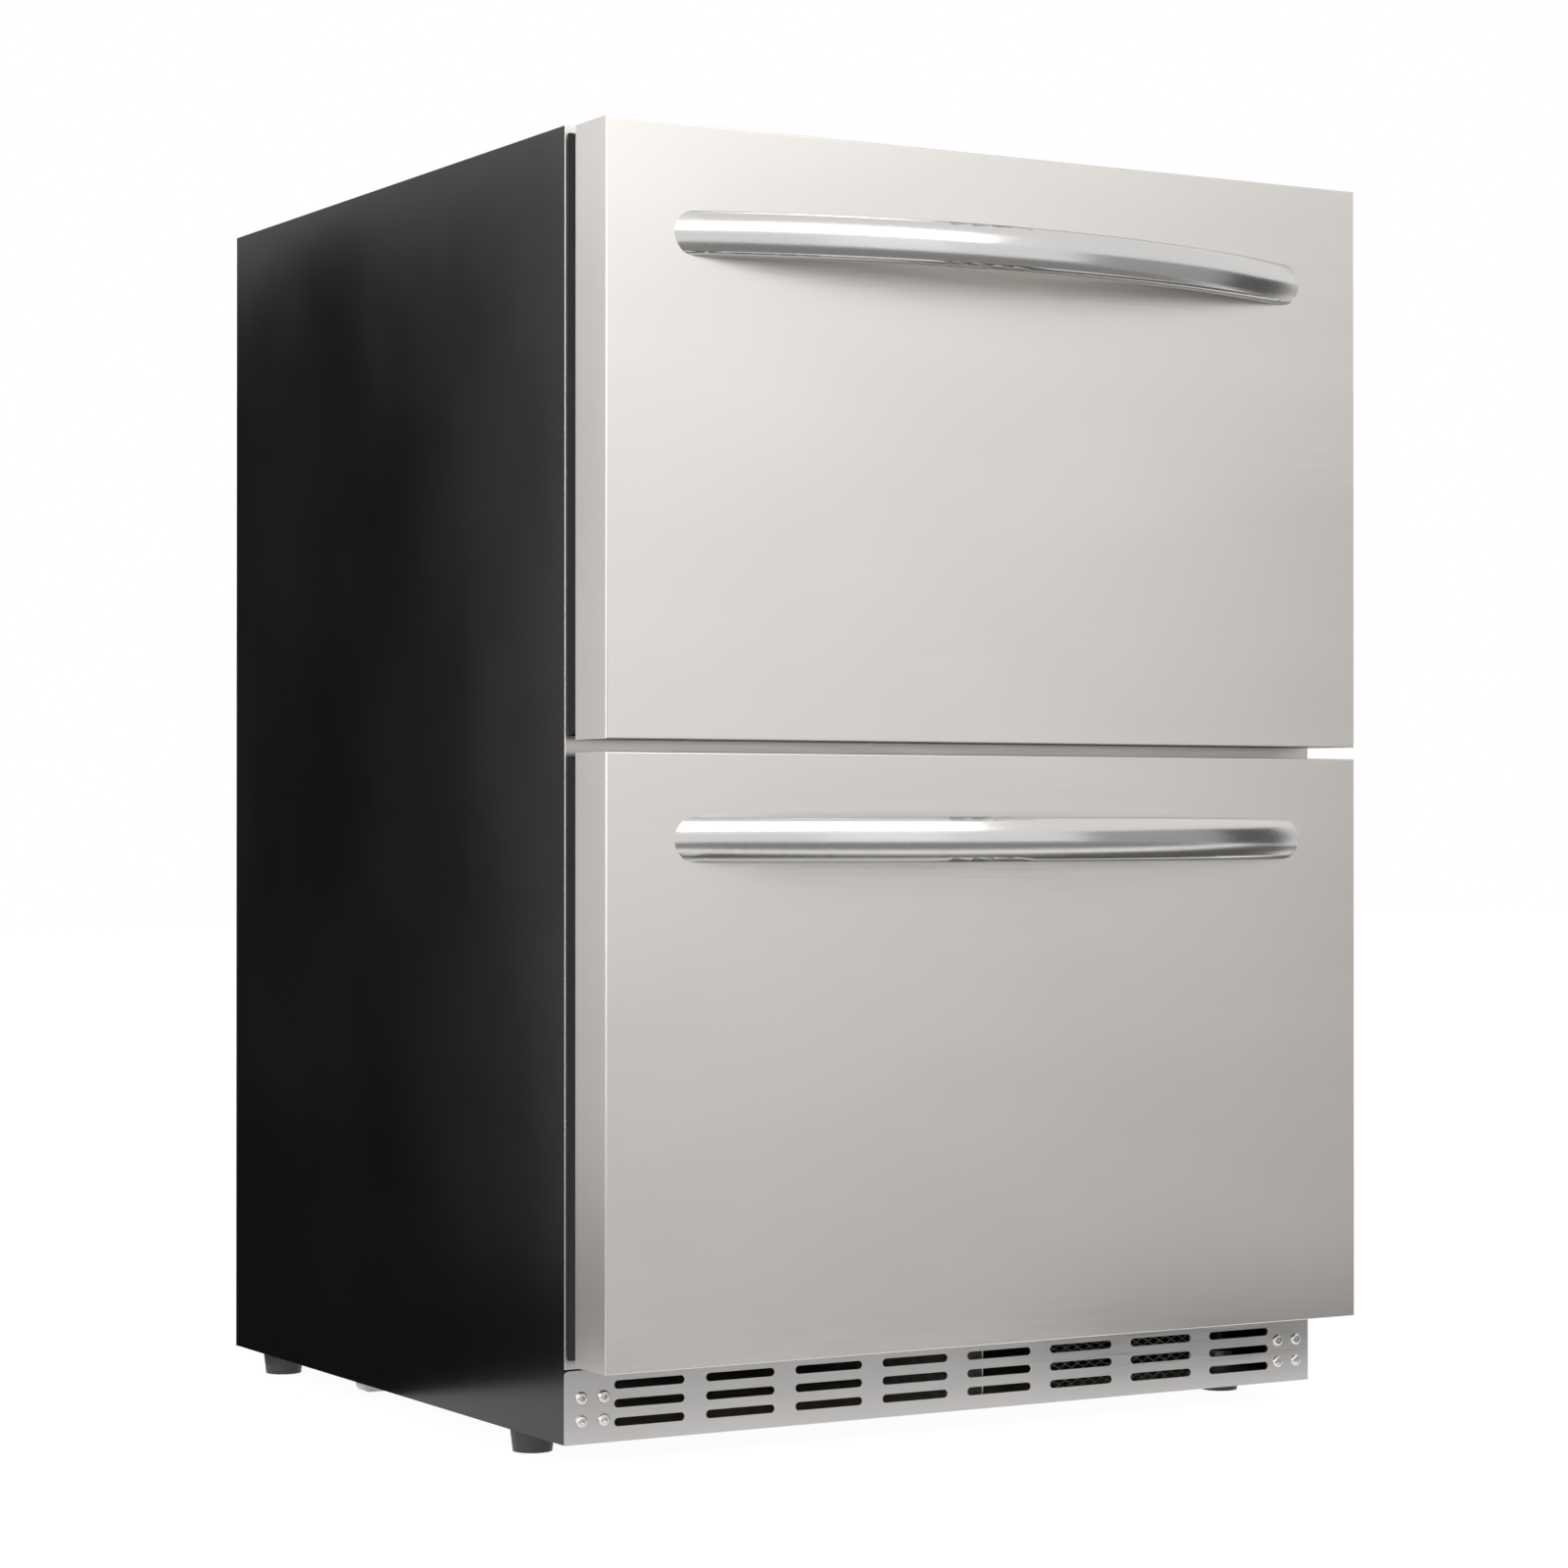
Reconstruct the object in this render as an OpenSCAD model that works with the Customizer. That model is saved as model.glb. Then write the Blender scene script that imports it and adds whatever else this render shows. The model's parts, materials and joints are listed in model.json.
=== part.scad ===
// Undercounter refrigerator with two drawers.
// Millimetres. +Z is up and the drawers open towards -Y.
// The origin is on the floor, under the middle of the whole outline.
// The modules work from the cabinet's own corner: x = 0 in the middle of the width, y = 0 on the
// front plane of the cabinet, z = 0 on the underside of the cabinet. in_cabinet() moves them home.

/* [Cabinet] */
// Width of the cabinet
cabinet_w = 595; // [580:1:620]
// Depth of the cabinet behind its front plane
cabinet_d = 554; // [545:1:600]
// Height of the cabinet without its feet
cabinet_h = 844.5; // [835:0.5:880]
// Thickness of the painted outer sheets
sheet_t = 1.2; // [0.8:0.1:2]
// Thickness of the stainless front frame and of the toe grille
frame_t = 1.3; // [1:0.1:2]
// Thickness of the inner liner
liner_t = 1.5; // [1:0.1:2.5]
// Side wall, from the outside to the inside of the liner
side_wall_t = 42; // [38:1:46]
// Top wall, from the outside to the inside of the liner
top_wall_t = 42; // [36:1:50]
// Rear wall, from the outside to the inside of the liner
rear_wall_t = 50; // [40:1:56]
// Insulated floor, from its underside to the inside of the liner
floor_wall_t = 38; // [30:1:42]
// Height of the air space under the insulated floor
toe_space_h = 52; // [50:1:60]
// Height of the cross bar between the two drawer openings
mullion_h = 64; // [56:1:76]
// Depth of the cross bar behind the front frame
mullion_d = 46; // [30:1:70]
// Width of the side panels' folded front edge
flange_w = 20; // [12:1:30]

/* [Machine bay] */
// Depth of the machine bay, from the back of the cabinet
bay_d = 170; // [165:1:175]
// Height of the machine bay
bay_h = 240; // [236:1:260]
// Insulated step around the machine bay
step_wall_t = 34; // [28:1:40]
// Recess of the rear vent cover
cover_recess = 5; // [4:0.5:8]
// Thickness of the compressor plate
plate_t = 1.6; // [1.2:0.1:2.5]
// How far the compressor plate reaches past the insulated step
plate_reach = 2; // [0:0.5:4]
// Length in Y of the cross rail under the compressor plate
rail_lip_w = 13; // [8:1:20]
// Depth of the cross rail below the cabinet
rail_lip_h = 11; // [6:0.5:13]
// Gap from each end of the cross rail to the side of the cabinet
rail_lip_inset = 14; // [10:1:30]
// Screws of the rear vent cover, from its ends
cover_screw_inset = 20; // [14:1:30]

/* [Compressor] */
// Middle of the compressor, from the left side of the cabinet
compressor_inset = 177.5; // [176:0.5:182]
// Diameter of the compressor
compressor_d = 140; // [120:1:142]
// Height of the compressor's can
compressor_h = 162; // [140:1:168]
// Height of the can's domed top
compressor_dome_h = 54; // [40:1:68]
// Height of the compressor's legs above its plate
compressor_lift = 14; // [8:1:18]
// Radius of a leg
leg_r = 9; // [7:0.5:11]
// Legs from the compressor's axis, across
leg_x = 58; // [50:1:62]
// Legs from the compressor's axis, front to back
leg_y = 48; // [44:1:52]
// Margin of the compressor's foot plate around the legs
leg_margin = 12; // [11:0.5:14]
// Thickness of the compressor's foot plate
leg_plate_t = 3; // [2:0.5:4]
// Ports from the compressor's axis
port_r = 64; // [58:1:65]
// Height of the ports above the can
port_up = 22; // [14:1:24]
// Angle from the suction port to the discharge port
port_angle = 55; // [45:1:65]
// Width and length of the drip pan
pan_w = 88; // [78:1:90]
// Height of the drip pan
pan_h = 22; // [14:1:26]
// Wall of the drip pan
pan_t = 2; // [1.5:0.1:3]
// Middle of the drip pan to the left of the compressor's axis
pan_offset = 8; // [6:1:14]

/* [Condenser] */
// Condenser from the right side of the cabinet
condenser_inset = 87.5; // [80:0.5:95]
// Width of the condenser
condenser_w = 80; // [64:1:84]
// Length of the condenser, front to back
condenser_l = 108; // [90:1:112]
// Height of the condenser
condenser_h = 156; // [130:1:164]
// Condenser above the underside of the cabinet
condenser_up = 22; // [12:1:30]
// Gap between the condenser and the fan's shroud
shroud_gap = 68; // [56:1:76]
// Thickness of the shroud
shroud_t = 2; // [1.5:0.1:3]
// Length of the shroud, front to back
shroud_w = 140; // [110:1:148]
// Height of the shroud's upper edge above the underside of the cabinet
shroud_h = 180; // [150:1:190]
// Axis of the condenser fan above the underside of the cabinet
condenser_fan_z = 100; // [60:1:120]

/* [Refrigerant lines] */
// Radius of the suction and discharge lines
pipe_r = 4; // [3:0.1:4.5]
// Radius of the liquid line and the capillary
capillary_r = 1.5; // [1:0.1:2]
// Clearance around a line where it passes through the insulation
line_clearance = 0.5; // [0.3:0.1:1]
// Suction line from the liner's left wall
suction_inset = 55.5; // [48:0.5:70]
// Capillary from the liner's left wall
capillary_inset = 29.5; // [20:0.5:38]
// Rising lines in front of the liner's rear wall
riser_gap = 26; // [20:1:34]
// Suction line below the roof of the machine bay
suction_drop = 24; // [18:1:26]
// Capillary below the roof of the machine bay
capillary_drop = 8; // [5:0.5:12]
// Rise of the discharge line above its port
discharge_rise = 8; // [6:0.5:10]
// Discharge line in front of the rear cover
discharge_cover_gap = 12; // [8:1:16]
// Discharge line beside the condenser
discharge_side_gap = 14; // [10:1:18]
// Lines behind the front wall of the machine bay
line_wall_gap = 5; // [5:0.5:8]
// Filter drier to the right of the middle
drier_x = 20; // [14:1:28]
// Filter drier behind the front wall of the machine bay
drier_gap = 24; // [18:1:28]
// Underside of the filter drier above the underside of the cabinet
drier_up = 76; // [64:1:90]
// Length of the filter drier
drier_l = 84; // [60:1:100]
// Radius of the filter drier
drier_r = 9; // [7:0.5:12]
// Liquid line above the underside of the cabinet
liquid_line_z = 50; // [30:1:60]

/* [Fronts] */
// Width of a drawer front
front_w = 593; // [578:1:618]
// Thickness of a drawer front
front_t = 41.7; // [34:0.1:48]
// Gap between the two drawer fronts
front_gap = 8; // [4:0.5:12]
// Underside of the lower front above the underside of the cabinet
front_bottom_z = 51.5; // [50:0.5:56]
// Top of the upper front below the top of the cabinet
front_top_drop = 2; // [1:0.5:6]
// Sheet thickness of a drawer front's shell
shell_t = 1; // [0.8:0.1:1.6]
// Rounding of a drawer front's edges
front_edge_r = 0.9; // [0.4:0.1:2]
// Thickness of a drawer front's inner panel
inner_panel_t = 2.5; // [1.5:0.1:4]
// Space that the gasket takes between a front and the cabinet
gasket_t = 12.8; // [8:0.1:16]
// Width of the gasket's rim
gasket_w = 24; // [18:1:27]
// Gasket's inset from the left and right edges of a front
gasket_side_inset = 1; // [0.5:0.1:3]
// Gasket's inset from the top and bottom edges of a front
gasket_end_inset = 2.5; // [1:0.1:4]
// Gap left between the gasket and the front frame
gasket_gap = 0.2; // [0.1:0.05:0.5]

/* [Handles] */
// Length of a handle, tip to tip
handle_l = 495; // [380:1:540]
// How far a handle stands out of its front
handle_reach = 53; // [40:0.5:70]
// Depth of the handle bar's oval
bar_depth = 14; // [10:0.5:20]
// Height of the handle bar's oval
bar_height = 29.4; // [22:0.1:36]
// Radius of the oval's top and bottom
bar_tip_r = 5; // [4.5:0.1:6.5]
// Middle of the upper handle below the top of its front
upper_handle_drop = 69.5; // [50:0.5:120]
// Middle of the lower handle below the top of its front
lower_handle_drop = 55.6; // [40:0.1:120]
// Radius of a handle screw's shank
handle_screw_r = 2.5; // [2:0.1:3]
// Inset of a handle screw from the handle's tip
handle_screw_inset = 28; // [26:0.5:32]
// How deep a handle screw enters the bar
handle_screw_bite = 7; // [5:0.5:8]
// Height of a handle screw's head
handle_screw_head_h = 4; // [3:0.5:5]
// Radius of the pocket behind a handle screw
screw_pocket_r = 7; // [6.5:0.5:10]
// Depth of the pocket behind a handle screw
screw_pocket_d = 20; // [8:1:26]

/* [Bins and slides] */
// Space for a slide between the liner and a bin
slide_space = 12.3; // [11:0.1:14]
// Wall of a bin
bin_t = 1.5; // [1:0.1:3]
// Height of the upper bin
upper_bin_h = 250; // [200:1:275]
// Depth of the upper bin
upper_bin_d = 436; // [380:1:440]
// Height of the lower bin
lower_bin_h = 280; // [220:1:295]
// Depth of the lower bin
lower_bin_d = 340; // [280:1:350]
// Gap under a bin, above the sill of its opening
bin_sill_gap = 8; // [5:0.5:14]
// Width of a bin's rolled rim
bin_rim_w = 5; // [3:0.5:8]
// Height of a slide
slide_h = 45; // [40:1:52]
// Middle of a slide above the underside of its bin
slide_up = 60; // [45:1:120]
// Length of the upper slides
upper_slide_l = 418; // [380:1:420]
// Length of the lower slides
lower_slide_l = 320; // [280:1:330]
// Sheet thickness of a slide's channels
slide_t = 1.2; // [1:0.1:1.5]
// Running gap between a slide's channels
slide_gap = 0.6; // [0.4:0.1:1]
// Gap between the outer channels and the bin
slide_bin_gap = 1.3; // [1:0.1:2]
// How much narrower the middle channels are than the outer ones
slide_width_step = 1; // [0.5:0.1:2]
// How much shorter each channel is than the one around it
slide_length_step = 8; // [4:1:12]
// Gap between the front frame and the front end of a slide
slide_setback = 4; // [2:0.5:8]

/* [Toe grille] */
// Height of the toe grille
grille_h = 47.5; // [44:0.5:49]
// Radius of the toe grille's upper corners
grille_corner_r = 3; // [1:0.5:6]
// Gap between the toe grille and the front frame
grille_gap = 1; // [0.5:0.1:2]
// Number of slots in a row
slot_columns = 8; // [4:1:8]
// Number of rows of slots
slot_rows = 3; // [1:1:3]
// Length of a slot
slot_l = 51.4; // [30:0.1:56]
// Height of a slot
slot_h = 5.5; // [3:0.1:7]
// Slot to slot along a row
slot_pitch_x = 67.46; // [62:0.01:69]
// Row to row
slot_pitch_z = 12.05; // [10:0.05:13]
// Middle row of slots above the underside of the cabinet
slot_mid_z = 24.5; // [22:0.1:26]
// Outer screws, from the side of the cabinet
screw_inset = 11.7; // [9:0.1:12]
// Screw to screw across
screw_pitch_x = 16.1; // [14:0.1:17]
// Screw to screw up
screw_pitch_z = 15; // [12:0.1:18]
// Middle of the screw group above the underside of the cabinet
screw_mid_z = 22.2; // [20:0.1:25]
// Diameter of a screw's head
screw_head_d = 8.6; // [7:0.1:10]
// Height of a screw's head
screw_head_h = 2.6; // [1.5:0.1:3]
// Diameter of a screw's shank
screw_d = 4; // [3:0.1:4.8]
// Length of a screw's shank
screw_l = 9; // [6:0.5:14]
// Width across the flats of a screw's socket
socket_w = 2.5; // [2:0.1:3.5]
// Clearance around a screw in its hole
screw_clearance = 0.2; // [0.1:0.05:0.4]
// Divider behind the grille, to the right of the middle
divider_x = 25.2; // [20:0.1:30]
// Gap between the flanges behind the grille and the divider
divider_gap = 6; // [3:0.5:12]

/* [Guard behind the grille] */
// Right end of the guard, from the right side of the cabinet
guard_inset = 83.5; // [60:0.5:120]
// Width of the guard
guard_w = 134; // [80:1:160]
// Gap between the flanges behind the grille and the guard
guard_gap = 24; // [16:1:40]
// Spacing of the guard's holes
guard_pitch = 9; // [7:0.5:12]
// Width of a guard's hole between its flats
guard_hole = 4.8; // [3:0.1:4.9]
// Solid rim of the guard
guard_rim = 2; // [1.5:0.1:4]

/* [Vents] */
// Length of a vent
vent_l = 82; // [50:1:92]
// Height of a vent
vent_h = 5.5; // [3:0.1:7]
// Vent to vent along a row
vent_pitch_x = 103; // [98:1:120]
// Row to row of vents
vent_pitch_z = 14; // [10:0.5:16]
// Rows of vents in the rear cover
rear_vent_rows = 6; // [3:1:7]
// Lowest vents of the rear cover above the underside of the cabinet
rear_vent_z = 60; // [30:1:80]
// Rows of vents in the evaporator cover
cold_vent_rows = 4; // [2:1:6]
// Lowest vents of the evaporator cover above the insulated step
cold_vent_up = 40; // [20:1:60]

/* [Feet] */
// Height of a foot below the cabinet
foot_h = 15.5; // [13:0.1:24]
// Diameter of a foot at its top
foot_top_d = 30; // [26:0.5:30]
// Diameter of a foot at the floor
foot_floor_d = 26.2; // [20:0.1:28]
// Feet, from the sides of the cabinet
foot_inset = 17.9; // [17:0.1:24]
// Front feet behind the front plane
front_foot_y = 82.4; // [60:0.1:110]
// Rear feet in front of the back of the cabinet
rear_foot_inset = 50.4; // [40:0.1:60]
// Diameter of a foot's stud
stud_d = 10; // [8:0.5:12]
// Height of a foot's stud above the cabinet's underside
stud_up = 32; // [26:1:40]
// Radial running clearance of the stud in its boss
stud_clearance = 0.08; // [0.02:0.01:0.1]
// Diameter of the boss that holds the stud
boss_d = 20; // [16:0.5:26]
// Height of the boss
boss_h = 12; // [8:1:18]
// Number of grip notches round a foot
foot_notches = 16; // [8:2:24]
// Radius of a grip notch
foot_notch_r = 1.4; // [1:0.1:2]
// Height of the plain ring under the grip notches
foot_ring_h = 3.1; // [2:0.1:6]

/* [Cold parts] */
// Distance from the inner rear wall to the front of the evaporator cover
duct_d = 64; // [60:1:68]
// Thickness of the evaporator cover
duct_t = 2; // [1.5:0.1:3]
// How much narrower the evaporator cover is than a bin, on each side
duct_side_gap = 2; // [1:0.5:8]
// Gap between the evaporator cover and the ceiling
duct_top_gap = 6; // [2:0.5:12]
// Evaporator's width
evaporator_w = 300; // [240:1:330]
// Evaporator's height
evaporator_h = 170; // [140:1:175]
// Evaporator's depth
evaporator_d = 40; // [30:1:44]
// Top of the evaporator below the ceiling
evaporator_drop = 150; // [140:1:160]
// Gap between the evaporator and the rear wall
evaporator_back_gap = 6; // [3:0.5:12]
// Axis of the evaporator fan below the ceiling
evaporator_fan_drop = 80; // [60:1:86]
// Number of fins on each heat exchanger
fin_count = 12; // [6:1:16]
// Thickness of a fin
fin_t = 0.8; // [0.5:0.1:1.2]
// Radius of a heat exchanger's tubes
coil_tube_r = 3.8; // [3:0.1:4.4]
// Number of tubes up each heat exchanger
coil_rows = 5; // [3:2:7]
// How far the tubes stand out of the fins
tube_stub = 10; // [6:0.5:16]
// Diameter of the temperature probe
probe_d = 7; // [5:0.5:9]
// Length of the temperature probe
probe_l = 36; // [24:1:44]
// Gap between the temperature probe and the right wall
probe_wall_gap = 2; // [1:0.5:6]
// Front end of the temperature probe in front of the evaporator cover
probe_reach = 60; // [50:1:120]
// Temperature probe below the ceiling
probe_drop = 50; // [40:1:56]
// Length of the probe's clip
probe_clip_l = 20; // [10:1:22]
// Height of the probe's clip
probe_clip_h = 4; // [2:0.5:5]
// Width of the interior lamp
lamp_w = 140; // [80:1:240]
// Depth of the interior lamp
lamp_d = 18; // [12:1:30]
// Height of the interior lamp
lamp_h = 5; // [3:0.5:10]
// Gap between the control housing and the interior lamp
lamp_gap = 16; // [4:1:40]

/* [Fans] */
// Diameter of the fans
fan_d = 76; // [60:1:78]
// Clearance around a fan in its opening
fan_clearance = 4; // [3:0.5:5]
// Number of fan blades
blade_count = 5; // [3:1:7]
// Depth of a fan along its axis
fan_depth = 14; // [10:0.5:16]
// Thickness of a blade
blade_t = 1.6; // [1:0.1:2.4]
// Pitch angle of the blades
blade_pitch = 38; // [25:1:45]
// Diameter of a fan's hub
hub_d = 26; // [20:1:32]
// Diameter of a fan motor
motor_d = 36; // [30:1:44]
// Length of a fan motor
motor_l = 18; // [14:1:22]
// Diameter of a fan's shaft
shaft_d = 4; // [3:0.1:5]
// Radial running clearance of a shaft in its motor
shaft_clearance = 0.06; // [0.02:0.01:0.1]
// How deep a shaft runs in its motor
shaft_bite = 10.8; // [8:0.1:11.8]
// Space past the end of a shaft
shaft_end_gap = 1.8; // [1:0.1:2.2]
// How deep the blades are rooted in the hub
blade_root = 1; // [0.5:0.1:2]
// Gap between the blades and the back of the hub
blade_back_gap = 1; // [0.5:0.1:2]
// Width of a motor's arms
arm_w = 6; // [4:0.5:10]
// Thickness of a motor's arms
arm_t = 2; // [1.5:0.1:3]
// How far the arms reach past the fan's opening
arm_reach = 6; // [4:0.5:8]
// Length of the foot at the end of an arm
arm_foot = 4; // [2:0.5:5]

/* [Controls] */
// Width of the control housing
control_w = 260; // [200:1:340]
// Depth of the control housing
control_d = 90; // [60:1:120]
// Height of the control housing
control_h = 26; // [22:0.5:28]
// Gap from the front frame to the face of the control housing
control_setback = 6; // [4:0.5:12]
// Width of the display
display_w = 64; // [40:1:80]
// Height of the display
display_h = 16; // [12:0.5:18]
// How far the display stands out of the housing
display_t = 1; // [0.5:0.1:2]
// Diameter of a button
button_d = 10; // [8:0.5:14]
// Length of a button
button_l = 6; // [4:0.5:8]
// How far a button stands out of the housing
button_proud = 1.6; // [1.2:0.1:2.5]
// Depth of a button's hole past the button
button_travel = 1.4; // [1.2:0.1:2]
// Clearance around a button
button_clearance = 0.3; // [0.2:0.05:0.5]
// Middle of a button from the middle of the housing
button_x = 58; // [50:1:80]

/* [Cord gland] */
// Radius of the hole for the cord
cord_hole_r = 4; // [3:0.1:5]
// Radius of the gland's barrel
gland_r = 8; // [6.5:0.1:10]
// Thickness of the gland's flange
gland_flange_t = 3; // [2:0.5:3.5]
// Length of the gland's barrel inside the machine bay
gland_l = 14; // [10:1:20]
// Width of the gland's flange around its barrel
gland_flange_w = 3; // [2:0.5:6]
// Middle of the gland, from the left side of the cabinet
gland_inset = 97.5; // [80:0.5:110]
// Middle of the gland above the underside of the cabinet
gland_z = 206; // [160:1:216]

/* [Hidden] */
$fn = 48;
eps = 0.5;
bow_segments = 256;
bow_spare_angle = 12;

// The cabinet's faces
half_w = cabinet_w / 2;
inner_x = half_w - side_wall_t;
skin_x = inner_x + liner_t;
outer_x = half_w - sheet_t;
inner_top = cabinet_h - top_wall_t;
inner_back = cabinet_d - rear_wall_t;
inner_floor = toe_space_h + floor_wall_t;
outer_top = cabinet_h - sheet_t;
outer_back = cabinet_d - sheet_t;
flange_back = frame_t + sheet_t;

// The machine bay and the step over it
bay_front = cabinet_d - bay_d;
step_y = bay_front - step_wall_t;
step_z = bay_h + step_wall_t;
cover_back = cabinet_d - cover_recess;
cover_front = cover_back - sheet_t;
plate_front = step_y - plate_reach;

// The drawer fronts
front_h = (cabinet_h - front_top_drop - front_bottom_z - front_gap) / 2;
lower_front_z = front_bottom_z;
upper_front_z = front_bottom_z + front_h + front_gap;
panel_back_y = -gasket_t;
panel_face_y = panel_back_y - front_t;
front_x = front_w / 2;
mullion_z = lower_front_z + front_h + front_gap / 2;
mullion_low = mullion_z - mullion_h / 2;
mullion_high = mullion_z + mullion_h / 2;

// The handles: a bow whose outer side is an arc through both tips
bow_outer_r = (pow(handle_l / 2, 2) + pow(handle_reach, 2)) / (2 * handle_reach);
bow_r = bow_outer_r - bar_depth / 2;
bow_centre_y = panel_face_y - handle_reach + bow_outer_r;
bow_sweep = 2 * asin(handle_l / 2 / bow_outer_r) + bow_spare_angle;
tip_centre = bar_height / 2 - bar_tip_r;
oval_d = (pow(tip_centre, 2) - pow(bar_depth / 2 - bar_tip_r, 2)) / (bar_depth - 2 * bar_tip_r);
oval_r = bar_depth / 2 + oval_d;
oval_join = tip_centre * oval_r / norm([oval_d, tip_centre]);
upper_handle_z = upper_front_z + front_h - upper_handle_drop;
lower_handle_z = lower_front_z + front_h - lower_handle_drop;
function handle_z(z) = z == upper_front_z ? upper_handle_z : lower_handle_z;
handle_screw_x = handle_l / 2 - handle_screw_inset;
handle_screw_head_r = 2 * handle_screw_r;

// The bins and slides
bin_x = inner_x - slide_space;
upper_bin_z = mullion_high + bin_sill_gap;
lower_bin_z = inner_floor + bin_sill_gap;
slide_front = frame_t + slide_setback;
outer_web = [inner_x - slide_t, inner_x];
outer_flange_x = bin_x + slide_bin_gap;
middle_web = [outer_web[0] - slide_gap - slide_t, outer_web[0] - slide_gap];
middle_half = slide_h / 2 - slide_t - slide_gap;
inner_web = [bin_x, bin_x + slide_t];
inner_half = middle_half - slide_t - slide_gap;

// The feet
rear_foot_y = cabinet_d - rear_foot_inset;
foot_x = half_w - foot_inset;

// The toe grille
grille_tab_w = screw_inset + screw_pitch_x + screw_head_d;
screw_xs = [half_w - screw_inset, half_w - screw_inset - screw_pitch_x];
screw_zs = [screw_mid_z - screw_pitch_z / 2, screw_mid_z + screw_pitch_z / 2];
cover_screw_x = (inner_x + outer_x) / 2;
cover_screw_zs = [cover_screw_inset, bay_h - cover_screw_inset];

// The cold parts
duct_y = inner_back - duct_d;
duct_x = bin_x - duct_side_gap;
duct_top = inner_top - duct_top_gap;
evaporator_z = inner_top - evaporator_drop - evaporator_h;
evaporator_y = inner_back - evaporator_back_gap - evaporator_d;
evaporator_fan_z = inner_top - evaporator_fan_drop;
fan_hole_r = fan_d / 2 + fan_clearance;
behind_fan = fan_depth + 2 * fan_clearance;

// The controls
control_face = frame_t + control_setback;
control_z = inner_top - control_h;

// The machinery in the bay
machine_y = (bay_front + cover_front) / 2;
compressor_x = compressor_inset - half_w;
compressor_z = plate_t + compressor_lift;
condenser_x = [half_w - condenser_inset - condenser_w, half_w - condenser_inset];
condenser_y = [machine_y - condenser_l / 2, machine_y + condenser_l / 2];
condenser_z = [condenser_up, condenser_up + condenser_h];
shroud_x = condenser_x[0] - shroud_gap - shroud_t;
port_top = compressor_z + compressor_h + port_up;
suction_port = [compressor_x + port_r, machine_y];
discharge_port = [compressor_x + port_r * cos(port_angle), machine_y + port_r * sin(port_angle)];
suction_x = suction_inset - inner_x;
capillary_x = capillary_inset - inner_x;
riser_y = inner_back - riser_gap;
suction_run_z = bay_h - suction_drop;
capillary_run_z = bay_h - capillary_drop;
drier_y = bay_front + drier_gap;
drier_z = [drier_up, drier_up + drier_l];
gland_x = gland_inset - half_w;

// Where the origin is
depth_front = panel_face_y - handle_reach;
shift_y = -(depth_front + cabinet_d) / 2;

module in_cabinet() {
    translate([0, shift_y, foot_h]) children();
}

// A box from its low and high values on each axis
module block(x, y, z) {
    translate([x[0], y[0], z[0]])
        cube([x[1] - x[0], y[1] - y[0], z[1] - z[0]]);
}

module both_sides() {
    children();
    mirror([1, 0, 0]) children();
}

module rod_y(r, y) {
    translate([0, y[0], 0])
        rotate([-90, 0, 0])
            cylinder(r = r, h = y[1] - y[0]);
}

module rod_x(r, x) {
    translate([x[0], 0, 0])
        rotate([0, 90, 0])
            cylinder(r = r, h = x[1] - x[0]);
}

// A slot along X, cut through in Y
module slot_y(length, height, y) {
    half = (length - height) / 2;
    for (side = [-1, 1])
        translate([side * half, 0, 0])
            rod_y(height / 2, y);
    block([-half, half], y, [-height / 2, height / 2]);
}

// A tube between two points, with a round joint at its end
module pipe(points, r) {
    for (i = [0 : len(points) - 2]) {
        run = points[i + 1] - points[i];
        translate(points[i])
            rotate([0, acos(run.z / norm(run)), atan2(run.y, run.x)])
                cylinder(r = r, h = norm(run));
        if (i < len(points) - 2)
            translate(points[i + 1]) sphere(r = r);
    }
}

// ---- Outer case ----

module side_panel() {
    difference() {
        union() {
            block([outer_x, half_w], [frame_t, cabinet_d], [0, cabinet_h]);
            block([half_w - flange_w, half_w], [frame_t, flange_back], [0, cabinet_h]);
            block([half_w - grille_tab_w, half_w], [frame_t, flange_back], [0, grille_h]);
            block([inner_x, half_w], [cover_front - sheet_t, cover_front], [plate_t, bay_h]);
        }
        for (x = screw_xs, z = screw_zs)
            translate([x, 0, z])
                rod_y(screw_d / 2 + screw_clearance, [frame_t - eps, flange_back + eps]);
        cover_screw_holes([cover_front - sheet_t - eps, cover_front + eps]);
    }
}

module left_side_panel() {
    color("#1d1b19") in_cabinet() mirror([1, 0, 0]) side_panel();
}

module right_side_panel() {
    color("#1d1b19") in_cabinet() side_panel();
}

module top_panel() {
    color("#1d1b19") in_cabinet()
        block([-outer_x, outer_x], [flange_back, cabinet_d], [outer_top, cabinet_h]);
}

module back_panel() {
    color("#26282a") in_cabinet()
        block([-outer_x, outer_x], [outer_back, cabinet_d], [bay_h, outer_top]);
}

module foot_boss(x, y, floor_z) {
    translate([x, y, floor_z]) cylinder(d = boss_d, h = boss_h);
}

module stud_hole(x, y) {
    translate([x, y, -eps])
        cylinder(r = stud_d / 2 + stud_clearance, h = boss_h + plate_t + 2 * eps);
}

// The boss is flattened on the side of the cabinet, where it meets the side panel
module boss_pair(y, floor_z) {
    intersection() {
        both_sides() foot_boss(foot_x, y, floor_z);
        block([-outer_x, outer_x], [0, cabinet_d], [0, cabinet_h]);
    }
}

module base_pan() {
    color("#8f9294") in_cabinet()
        difference() {
            union() {
                block([-outer_x, outer_x], [flange_back, plate_front], [0, sheet_t]);
                boss_pair(front_foot_y, sheet_t);
                block([divider_x, divider_x + sheet_t], [flange_back + divider_gap, plate_front],
                      [0, toe_space_h]);
            }
            both_sides() stud_hole(foot_x, front_foot_y);
        }
}

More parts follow.
